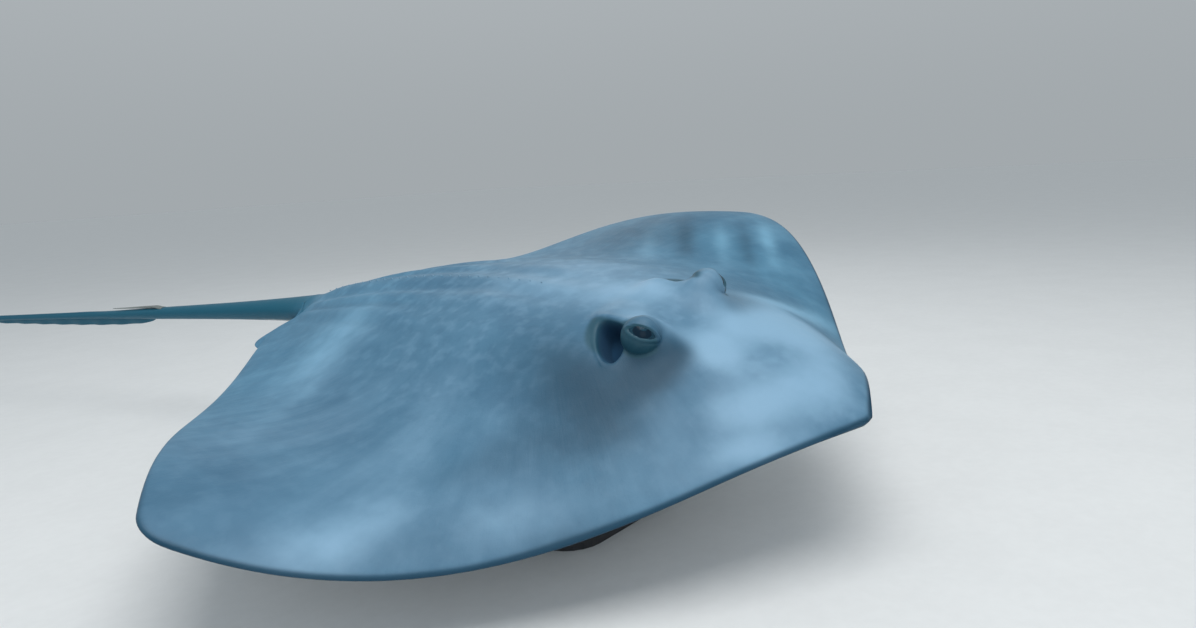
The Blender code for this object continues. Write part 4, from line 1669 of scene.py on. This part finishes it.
    def tail(self) -> Piece:
        """The tail as an open tube with its tip closed.

        Returns:
            The object.
        """
        plan = self.tail_plan
        made, turn, run = grid("tail tube", plan.around, plan.rings)
        y = plan.start + (plan.end - plan.start) * run ** plan.crowding
        angle = 2 * math.pi * turn
        across, facing = np.cos(angle), np.sin(angle)
        wide, high = self.form.tail_wide(y), self.form.tail_high(y)
        tip = (run - 1 + plan.tip_share) / plan.tip_share
        closing = np.sqrt(np.clip(1 - between(0.0, 1.0, tip) ** 2, 0, 1))
        keel = plan.keel * hump(facing, 1.0, plan.keel_narrow) * within(*plan.keel_run, y)
        x, z = wide * across * closing, (high * facing + keel) * closing
        arc = wide * np.arcsin(np.clip(across, -1, 1))
        return self.settle(made, (x, y, z), (x, y, facing), (arc, y, facing), 0 * x + plan.rim)

    @staticmethod
    def sew_tail(disc: Piece, tail: Piece) -> Piece:
        """Joins the tail to the opening at the back of the disc.

        Args:
            disc: the back and belly, closed but for the tail's opening.
            tail: the tube.

        Returns:
            The one object.
        """
        made = join(disc, tail)
        with editing(made, "DESELECT"):
            bpy.ops.mesh.select_mode(type="EDGE")
            bpy.ops.mesh.select_all(action="DESELECT")
            bpy.ops.mesh.select_non_manifold(extend=False, use_wire=False, use_boundary=True,
                                             use_multi_face=False, use_non_contiguous=False,
                                             use_verts=False)
            bpy.ops.mesh.bridge_edge_loops()
        return made

    def pelvic(self, side: int) -> Piece:
        """One rounded pelvic fin, thin at its edge, rooted under the trunk.

        Args:
            side: 1 for the left, -1 for the right.

        Returns:
            The object.
        """
        plan = self.pelvic_plan
        made, turn, run = grid("pelvic fin", plan.around, plan.rings)
        middle, half = (plan.front + plan.back) / 2, (plan.back - plan.front) / 2
        angle, spread = 2 * math.pi * turn, math.pi * (run - 0.5)
        y = middle + half * np.sin(spread)
        bow = np.sqrt(np.clip(np.cos(spread), 0, 1))
        share, facing = 0.5 - 0.5 * np.cos(angle), np.sin(angle)
        x = side * (plan.inner + (plan.outer - plan.inner) * bow ** plan.fullness * share)
        rays = plan.ray * np.cos(run * plan.rays) * share * (1 - share) * 2
        body = plan.thickness / 2 * bow * np.clip(plan.thin_by - share, 0, 1) ** 0.5
        hang = through(plan.hang_at, plan.hang, y) + plan.tip_hang * share ** 2
        z = -hang + (body + plan.edge + rays) * bow * facing
        rim = plan.rims[0] * (1 - share) + plan.rims[1]
        return self.settle(made, (x, y, z), (x, y, facing), (x, y + plan.aside, facing), rim)

    def fold(self) -> Piece:
        """The long fin fold under the tail.

        Returns:
            The object.
        """
        plan = self.fold_plan
        made, turn, run = grid("tail fold", plan.around, plan.rings)
        y = plan.front + (plan.back - plan.front) * run
        bow = np.maximum(np.sin(math.pi * run ** plan.deepest), 0.0)
        deep = plan.deep * bow ** plan.fullness * (1 - plan.shallower * run)
        angle = 2 * math.pi * turn
        across, share = np.cos(angle), 0.5 - 0.5 * np.sin(angle)
        closing = np.sqrt(np.clip(1 - np.abs(2 * run - 1) ** plan.end_power, 0, 1))
        x = plan.thin * across * (plan.root_shares[0] + plan.root_shares[1] * np.sin(angle))
        ripple = plan.ripple * np.sin(run * plan.ripples) * share
        z = plan.sunk - self.form.tail_high(y) - (deep + plan.edge) * share * closing
        return self.settle(made, ((x + ripple) * closing, y, z), (x, y, 0 * x),
                           (plan.aside + deep * share, y, across), 0 * x + plan.rim)

    def shape_eye(self, points: Array, side: int) -> tuple[Array, Array]:
        """Draws the skin over an eyeball as a dome, with a long lidded opening.

        Args:
            points: the skin's points.
            side: 1 for the left eye, -1 for the right one.

        Returns:
            The moved points, and how much each gets of the lids' dark colour, as painted shade on the
            dome's lower outer side.
        """
        plan, eye = self.lids, EyeSocket.of(self.form, side)
        centre, heading = np.array(eye.centre), self.form.heading
        off = points - centre
        far = np.linalg.norm(off, axis=1)
        close = far < eye.radius * plan.reach
        off, far = off[close], far[close]
        ahead, fore, up = (off @ np.array(axis) for axis in (eye.gaze, eye.fore, eye.up))
        high = np.arctan2(up, ahead) / eye.open_high * np.where(up > 0, plan.upper_drop, 1.0)
        ring = np.hypot(np.arctan2(fore, ahead) / eye.open_long, high)
        ring = np.where(ahead > 0, ring, plan.no_ring)
        lid = eye.radius + plan.thick + plan.roll * hump(ring, *plan.roll_ring)
        lid = lid - plan.crease * hump(ring, *plan.crease_ring)
        inward, above, outside = (off @ np.array(heading(side * out, *rest)) / far
                                  for out, *rest in (plan.inward, (0.0, 0.0, 1.0), plan.outward))
        soft = plan.soft + plan.soft_inward * between(*plan.inward_run, inward)
        blend = np.clip(0.5 + 0.5 * (far - lid) / soft, 0, 1)
        outer = lid + (far - lid) * blend + soft * blend * (1 - blend) * 0.5
        opened = between(*plan.opening, ring)
        target = eye.radius * plan.sunk * (1 - opened) + outer * opened
        moved, dark = points.copy(), np.zeros(len(points))
        moved[close] = centre + off * (target / far)[:, None]
        # Painted shade on the dome's lower outer side, left off its top.
        shade = 1 - between(*(eye.radius * share for share in plan.dark_reach), target)
        bare = plan.bare * between(*plan.bare_above, above) * between(*plan.bare_ring, ring)
        dark[close] = shade * between(*plan.outward_run, outside) * (1 - bare)
        return moved, dark

    def shape_spiracle(self, points: Array, upper: Array, side: int) -> tuple[Array, Array]:
        """Sinks a breathing hole behind an eye, straight along its inner side, narrow at its outer end.

        Args:
            points: the skin's points.
            upper: which of them belong to the back.
            side: 1 for the left, -1 for the right.

        Returns:
            The moved points, and how much painted shade each gets in the hole.
        """
        form, head, plan = self.form, self.form.head, self.hole
        x, y = side * head.spiracle_out, head.spiracle_back
        centre = np.array(form.spot(x, y, form.back_top(x, y)))
        normal = np.array(form.heading(side * plan.facing[0], *plan.facing[1:]))
        fore = np.array(form.heading(0.0, -1.0, 0.0))
        fore = fore - normal * (fore @ normal)
        fore /= np.linalg.norm(fore)
        off = points - centre
        ahead, out = off @ fore, off @ (side * np.cross(normal, fore))
        b = out / head.spiracle_wide
        half = head.spiracle_long * through(plan.half_at, plan.halves, b)
        a = (ahead - head.spiracle_slant * out) / half
        power = plan.squareness
        ring = (np.abs(a) ** power + np.abs(b) ** power) ** (1 / power)
        near = upper & (np.abs(off @ normal) < plan.reach)
        deep = head.spiracle_deep * (1 - between(*plan.wall, ring))
        inner = hump(b, *plan.inner_lip_at) * (1 - between(*plan.inner_lip_ends, np.abs(a)))
        rim = plan.lip * hump(ring, *plan.lip_ring) + plan.inner_lip * inner
        moved = points + normal * ((rim - deep) * near)[:, None]
        return moved, (1 - between(*plan.dark, ring)) * near

    def shape_head(self, piece: Piece, flat: Array) -> None:
        """Sinks the spiracles, draws the lids, and keeps the painted shade in the spiracles, on the lids
        and in the recess behind each eye.

        Args:
            piece: the whole skin.
            flat: its places on the outspread animal.
        """
        points = points_of(piece)
        upper = (flat[:, 2] > 0) & (flat[:, 1] < self.head_end)
        front = upper & (flat[:, 1] < self.lid_end)
        pit, lids = np.zeros(len(points)), np.zeros(len(points))
        for side in (1, -1):
            points, dark = self.shape_spiracle(points, upper, side)
            pit = np.maximum(pit, dark)
        for side in (1, -1):
            points[front], dark = self.shape_eye(points[front], side)
            lids[front] = np.maximum(lids[front], dark)
        set_points(piece, points)
        # Painted shade in the recess behind each eye.
        hollow_shade = self.hollow_shade.cover(np.abs(flat[:, 0]) / W, flat[:, 1] / W)
        store(piece, "pit", pit * (1 - lids))
        store(piece, "lid", np.maximum(lids, hollow_shade * upper))

    def zones(self, piece: Piece) -> None:
        """Stores where the skin is paler or darker, with painted highlights and painted shade among them,
        where it is dark on the tail, and where it is white.

        Args:
            piece: the whole skin.
        """
        plan, flat = self.pattern, stored(piece, "flat")
        out, back, sheet = flat[:, 0] / W, flat[:, 1] / W, flat[:, 2]
        lead = read(piece.data.attributes["rim"].data, "value", 1)[:, 0] / W
        # Painted shade along the rim, strongest at the leading edges.
        edge = hump(lead, 0.0, plan.edge_shade_wide)
        edge = edge * (plan.edge_shade_front - plan.edge_shade_drop * between(*plan.edge_shade_run, back))
        # Painted shade where the folds near the tail dip.
        trough_shade = plan.trough * np.clip(-self.back_relief.folds(flat[:, 0], flat[:, 1]), 0, 1)
        # Darker markings and painted shade.
        dusky_and_shade = sum(patch.cover(out, back) for patch in DUSKY_AND_SHADE_PATCHES) + edge + trough_shade
        # Paler markings and painted highlights.
        store(piece, "pale_and_highlight", np.clip(sum(patch.cover(out, back) for patch in PALE_AND_HIGHLIGHT_PATCHES), 0, 1))
        store(piece, "dusky_and_shade", np.clip(dusky_and_shade, 0, 1))
        tail = between(*plan.tail_run, back) * (1 - between(*plan.tail_side, np.abs(out)))
        store(piece, "tail", tail)
        under_disc = (sheet < -0.01) * between(*plan.white_margin, lead)
        under_tail = 1 - between(*plan.tail_white_side, sheet)
        under_tail = under_tail * (1 - between(*plan.tail_white_run, back))
        on_tail = (back > plan.tube_from) & (np.abs(out) < plan.tube_half)
        store(piece, "belly", np.where(on_tail, under_tail, under_disc))
        cast = np.ones((len(out), 3))
        for share, change in ((between(*plan.rear_run, back), plan.rear_cast),
                              (between(*plan.left_run, out), plan.left_cast)):
            cast = cast * (1 + share[:, None] * np.array(change))
        store(piece, "cast", cast)

    def fin_rays(self, piece: Piece) -> None:
        """Stores how the fin rays fan out, and where they show.

        Args:
            piece: the whole skin.
        """
        flat, plan = stored(piece, "flat"), self.fan
        out, back = flat[:, 0] / W, flat[:, 1] / W
        turn = np.arctan2(back - plan.back, np.abs(out) + plan.out)
        reach = np.hypot(back - plan.back, np.abs(out) + plan.out)
        store(piece, "fan", np.stack([turn * plan.turn_scale, reach * plan.reach_scale,
                                      np.sign(out) * plan.side_scale], -1))
        shown = between(*plan.start, reach) * between(*plan.beside, np.abs(out))
        store(piece, "rays", shown * (back < plan.end))

    def unwrap(self, piece: Piece) -> None:
        """Lays the skin out flat: back and belly side by side, tail above.

        Args:
            piece: the whole skin.
        """
        flat, faces = stored(piece, "lay"), piece.data.polygons
        corner = counted(piece.data.loops, "vertex_index")
        owner = np.repeat(np.arange(len(faces)), counted(faces, "loop_total"))
        facing = np.zeros(len(faces))
        np.add.at(facing, owner, flat[corner, 2])
        (left, low), (wide, tall) = self.map_start, self.map_size
        u = left + flat[corner, 0] / self.unwrapped_wide * wide + self.map_halves * (facing < 0)[owner]
        v = low + flat[corner, 1] / self.unwrapped_long * tall
        layer = piece.data.uv_layers.new(name="OFBake")
        layer.data.foreach_set("uv", np.stack([u, v], -1).astype(np.float32).ravel())

    def build(self, finish: Material) -> Piece:
        """Makes the whole skin and dresses it.

        Args:
            finish: its material.

        Returns:
            The object.
        """
        back, belly = self.sheet("ray skin", True), self.sheet("belly", False)
        disc = join(back, belly)
        self.lift(disc)
        merge(disc)
        body = self.sew_tail(disc, self.tail())
        body = join(body, self.pelvic(1), self.pelvic(-1), self.fold())
        self.shape_head(body, stored(body, "flat"))
        merge(body, 1e-6)
        self.zones(body)
        self.fin_rays(body)
        self.unwrap(body)
        clothe(body, "ray_skin", finish)
        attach(body, "root")
        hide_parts(*FLESH_NODES)
        return body


# ------------------------------------------------------------------------------------------ eyes
@dataclass(frozen=True)
class EyeSocket:
    """Where one eyeball sits and which way it looks."""

    centre: Vector
    gaze: Vector
    fore: Vector
    up: Vector
    radius: float
    open_long: float = math.radians(46.0)
    open_high: float = math.radians(18.0)

    @staticmethod
    def of(form: RayForm, side: int) -> "EyeSocket":
        """Finds a socket on the swimming animal.

        Args:
            form: the ray's surface.
            side: 1 for the left, -1 for the right.

        Returns:
            The socket.
        """
        head = form.head
        centre = form.spot(side * head.eye_out, head.eye_back, head.eye_up)
        gaze = form.heading(side * head.eye_gaze[0], *head.eye_gaze[1:])
        fore = form.heading(0.0, -1.0, 0.0)
        fore = (fore - gaze * fore.dot(gaze)).normalized()
        up = gaze.cross(fore)
        return EyeSocket(centre, gaze, fore, -up if up.z < 0 else up, head.eye_radius)


@dataclass
class Eyes:
    """The two eyeballs, each with a clear bulge in front."""

    form: RayForm
    bulge: float = 0.045
    bulge_spread: float = 0.75
    bulge_sunk: float = 0.9
    segments: int = 64
    rings: int = 48

    def ball(self, name: str, side: int, finish: Material) -> Piece:
        """Makes one eyeball.

        Args:
            name: its name.
            side: 1 for the left, -1 for the right.
            finish: its material.

        Returns:
            The object.
        """
        socket = EyeSocket.of(self.form, side)
        deselect()
        bpy.ops.mesh.primitive_uv_sphere_add(segments=self.segments, ring_count=self.rings, radius=1.0)
        made = bpy.context.object
        points = points_of(made)
        polar = np.arccos(np.clip(points[:, 2], -1, 1))
        turn = np.hypot(points[:, 0], points[:, 1]) + 1e-9
        look = np.stack([polar * points[:, 0] / turn, polar * points[:, 1] / turn, polar], -1)
        swell = 1 + self.bulge * hump(polar, 0.0, self.bulge_spread) - self.bulge * self.bulge_sunk
        axes = np.array([socket.fore, socket.up, socket.gaze])
        set_points(made, np.array(socket.centre) + points * (swell * socket.radius)[:, None] @ axes)
        store(made, "look", look)
        merge(made, 1e-6)
        clothe(made, name, finish)
        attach(made, "root")
        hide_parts(name.replace("ball", ""))
        return made

    def build(self, finish: Material) -> list[Piece]:
        """Makes both eyes."""
        return [self.ball("eyeball_left", 1, finish), self.ball("eyeball_right", -1, finish)]


# ------------------------------------------------------------------------------ spine and thorns
@dataclass(frozen=True)
class SpinePlan:
    """The saw-edged tail spine, flat below and ridged above, with teeth that point to the body."""

    root: float = 1.205 * W
    length: float = 0.120 * W
    half_width: float = 0.0048 * W
    thickness: float = 0.0040 * W
    flatness: float = 0.8
    taper: float = 0.6
    tip: float = 0.0003
    ridge: tuple[float, float, float] = (0.16, 0.0, 0.20)
    groove: tuple[float, float, float] = (0.10, 0.42, 0.15)
    core: float = 0.45
    swell: float = 0.50
    around: int = 20
    teeth: int = 34
    faces_each: int = 4
    bite: float = 0.24
    bite_spread: float = 0.35
    bite_from: tuple[float, float] = (0.12, 0.22)
    thinning: float = 0.75
    lift: float = 0.004
    clear: float = 0.0004
    sunk: float = 0.0036
    sunk_share: float = 0.14


@dataclass(frozen=True)
class ThornPlan:
    """The row of low thorns down the middle of the back."""

    count: int = 26
    start: float = 0.39 * W
    length: float = 0.44 * W
    least: float = 0.0008
    more: float = 0.0006
    over: float = 0.0030
    sides: int = 10
    foot: float = 1.5
    tip: float = 0.25
    tall: float = 2.4
    raised: float = 0.6
    lean: float = 0.35


@dataclass
class Horn:
    """The tail spine and the small thorns along the back."""

    form: RayForm
    spine_plan: SpinePlan = SpinePlan()
    thorn_plan: ThornPlan = ThornPlan()
    bone: Shader = Shader(0.40, specular=0.4)

    def spine(self, finish: Material) -> Piece:
        """Makes the spine.

        Args:
            finish: its material.

        Returns:
            The object.
        """
        plan = self.spine_plan
        made, turn, run = grid("spine", plan.around, plan.teeth * plan.faces_each)
        y = plan.root + plan.length * run
        angle = 2 * math.pi * turn
        across, facing = np.cos(angle), np.sin(angle)
        side = np.sign(across) * np.abs(across) ** plan.flatness
        bite = plan.bite * ((run * plan.teeth) % 1.0) * between(*plan.bite_from, run)
        wide = np.maximum(plan.half_width * np.maximum(1 - run, 0.0) ** plan.taper, plan.tip)
        x = wide * side * (1 - hump(np.abs(across), 1.0, plan.bite_spread) * bite)
        ridge, groove = (share * hump(np.abs(side), middle, spread)
                         for share, middle, spread in (plan.ridge, plan.groove))
        thick = plan.thickness * (1 - plan.thinning * run)
        z = thick * (plan.core + (plan.swell + (ridge - groove) * (facing > 0)) * facing)
        base = self.form.tail_high(y) + plan.clear + plan.lift * run
        base = base - plan.sunk * (1 - between(0.0, plan.sunk_share, run))
        set_points(made, self.form.pose(x, y, base + z))
        merge(made, 2e-5)
        with editing(made):
            bpy.ops.mesh.fill_holes(sides=0)
            bpy.ops.mesh.normals_make_consistent(inside=False)
        return self.finish_piece(made, "saw_spine", finish, "horn", "tail_spine")

    def thorn_row(self, finish: Material) -> Piece:
        """Makes the thorns.

        Args:
            finish: their material.

        Returns:
            The object.
        """
        plan, pose, made = self.thorn_plan, self.form.pose_plan, []
        for share in np.linspace(0.0, 1.0, plan.count):
            y = plan.start + plan.length * share
            size = plan.least + plan.more * math.sin(math.pi * share)
            up = self.form.back_top(0.0, y) + plan.over + size * plan.raised
            deselect()
            bpy.ops.mesh.primitive_cone_add(vertices=plan.sides, radius1=size * plan.foot,
                                            radius2=size * plan.tip, depth=size * plan.tall,
                                            location=self.form.spot(0.0, y, up))
            bpy.context.object.rotation_euler = (pose.nose_down - plan.lean, -pose.bank, 0.0)
            made.append(bpy.context.object)
        choose(*made)
        bpy.ops.object.transform_apply(location=True, rotation=True, scale=True)
        return self.finish_piece(join(*made), "back_thorns", finish, "horn")

    @staticmethod
    def finish_piece(item: Piece, name: str, finish: Material, slot: str, *nodes: str) -> Piece:
        """Names and dresses a piece, hangs it on the root body and hides any nodes that it replaces.

        Args:
            item: the object.
            name: its name.
            finish: its material.
            slot: not used.
            nodes: the nodes that it replaces.

        Returns:
            The object.
        """
        clothe(item, name, finish, 50.0)
        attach(item, "root")
        if nodes:
            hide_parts(*nodes)
        return item

    def build(self) -> list[Piece]:
        """Makes the spine and the thorns.

        Returns:
            The two objects.
        """
        horn = PlainFinish("horn", Tone.HORN, self.bone, grain=500.0, stretch=(1.0, 0.15, 1.0))
        thorn = PlainFinish("thorn", Tone.THORN, self.bone, grain=700.0)
        return [self.spine(horn.make()), self.thorn_row(thorn.make())]


# ----------------------------------------------------------------------------------------- stand
@dataclass(frozen=True)
class Stand:
    """The base and rods keep their solids and get their real finishes."""

    powder: PlainFinish = PlainFinish("powder coat", Tone.POWDER, Shader(0.52, specular=0.45), grain=900.0,
                                      bump=0.30)
    steel: PlainFinish = PlainFinish("brushed steel", Tone.STEEL, Shader(0.32, metallic=1.0), grain=900.0,
                                     stretch=(1.0, 1.0, 0.04), shift=0.10, bump=0.06)

    def build(self) -> None:
        """Dresses the three nodes."""
        powder, steel = self.powder.make(), self.steel.make()
        for name, finish in (("stand_base", powder), ("stand_rod_front", steel), ("stand_rod_rear", steel)):
            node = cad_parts[name]
            node.data.materials.clear()
            node.data.materials.append(finish)


# ---------------------------------------------------------------------------------------- studio
@dataclass(frozen=True)
class Lamp:
    """One square soft light that faces a target."""

    name: str
    place: tuple[float, float, float]
    target: tuple[float, float, float]
    size: float
    power: float
    colour: tuple[float, float, float]

    def build(self) -> None:
        """Hangs the light."""
        data = bpy.data.lights.new(self.name, "AREA")
        data.size, data.energy, data.color = self.size, self.power, self.colour
        made = bpy.data.objects.new(self.name, data)
        bpy.context.scene.collection.objects.link(made)
        made.location = self.place
        aim = Vector(self.target) - Vector(self.place)
        made.rotation_euler = aim.to_track_quat("-Z", "Y").to_euler()


@dataclass(frozen=True)
class Studio:
    """Floor, soft lights and the camera."""

    camera_place: tuple[float, float, float] = (-0.8377, -0.8182, 0.4162)
    camera_ahead: tuple[float, float, float] = (0.7690, 0.6179, -0.1639)
    camera_up: tuple[float, float, float] = (0.1632, 0.0581, 0.9849)
    lens: float = 26.04
    sensor: float = 36.0
    nearest: float = 0.01
    floor_size: float = 40.0
    ground: PlainFinish = PlainFinish("studio floor", Tone.FLOOR, Shader(0.85, specular=0.2), grain=60.0,
                                      shift=0.02, bump=0.0)
    lamps: tuple[Lamp, ...] = (
        Lamp("overhead", (-0.3, -0.5, 2.6), (0.0, 0.1, 0.2), 2.2, 40.0, (1.0, 0.99, 0.97)),
        Lamp("front fill", (-2.2, -2.4, 1.5), (0.0, 0.0, 0.2), 2.0, 9.0, (0.92, 0.96, 1.0)),
        Lamp("far rim", (1.8, 1.6, 1.6), (0.0, 0.0, 0.25), 1.2, 2.5, (0.95, 0.98, 1.0)))
    air_strength: float = 0.58

    def floor(self) -> None:
        """A wide pale floor."""
        deselect()
        bpy.ops.mesh.primitive_plane_add(size=self.floor_size, location=(0.0, 0.0, 0.0))
        made = bpy.context.object
        made.name = "floor"
        made.data.materials.append(self.ground.make())

    def air(self) -> None:
        """Soft light from all around, a little dimmer low down so that it meets the floor unseen."""
        world = bpy.data.worlds.new("studio air")
        world.use_nodes = True
        work, shade = Nodes(world.node_tree), world.node_tree.nodes["Background"]
        around = work.add("ShaderNodeTexCoord").outputs["Generated"]
        height = work.add("ShaderNodeSeparateXYZ", {0: around}).outputs[2]
        colour = work.mix(work.step(height, 0.0, 0.40), Tone.AIR_LOW.rgba, Tone.AIR_HIGH.rgba)
        work.feed(colour, shade.inputs["Color"])
        shade.inputs["Strength"].default_value = self.air_strength
        bpy.context.scene.world = world

    def camera(self) -> None:
        """The camera, at the model's front right."""
        data = bpy.data.cameras.new("camera")
        data.lens, data.sensor_width, data.clip_start = self.lens, self.sensor, self.nearest
        made = bpy.data.objects.new("camera", data)
        bpy.context.scene.collection.objects.link(made)
        ahead = Vector(self.camera_ahead).normalized()
        right = ahead.cross(Vector(self.camera_up)).normalized()
        turn = Matrix((right, right.cross(ahead), -ahead)).transposed()
        made.matrix_world = Matrix.Translation(self.camera_place) @ turn.to_4x4()
        bpy.context.scene.camera = made

    def build(self) -> None:
        """Sets up the studio."""
        self.floor()
        for lamp in self.lamps:
            lamp.build()
        self.air()
        self.camera()
        bpy.context.scene.view_settings.view_transform = "Standard"


def main() -> None:
    """Builds every piece in order."""
    logging.basicConfig(level=logging.INFO, format="%(message)s")
    form = RayForm()
    pieces = [Skin(form).build(SkinFinish().make(SkinClouds().make()))]
    pieces += Eyes(form).build(EyeFinish().make())
    pieces += Horn(form).build()
    for piece in pieces:
        log.info("%s: %d faces", piece.name, len(piece.data.polygons))
    Stand().build()
    Studio().build()


if __name__ == "__main__":
    main()
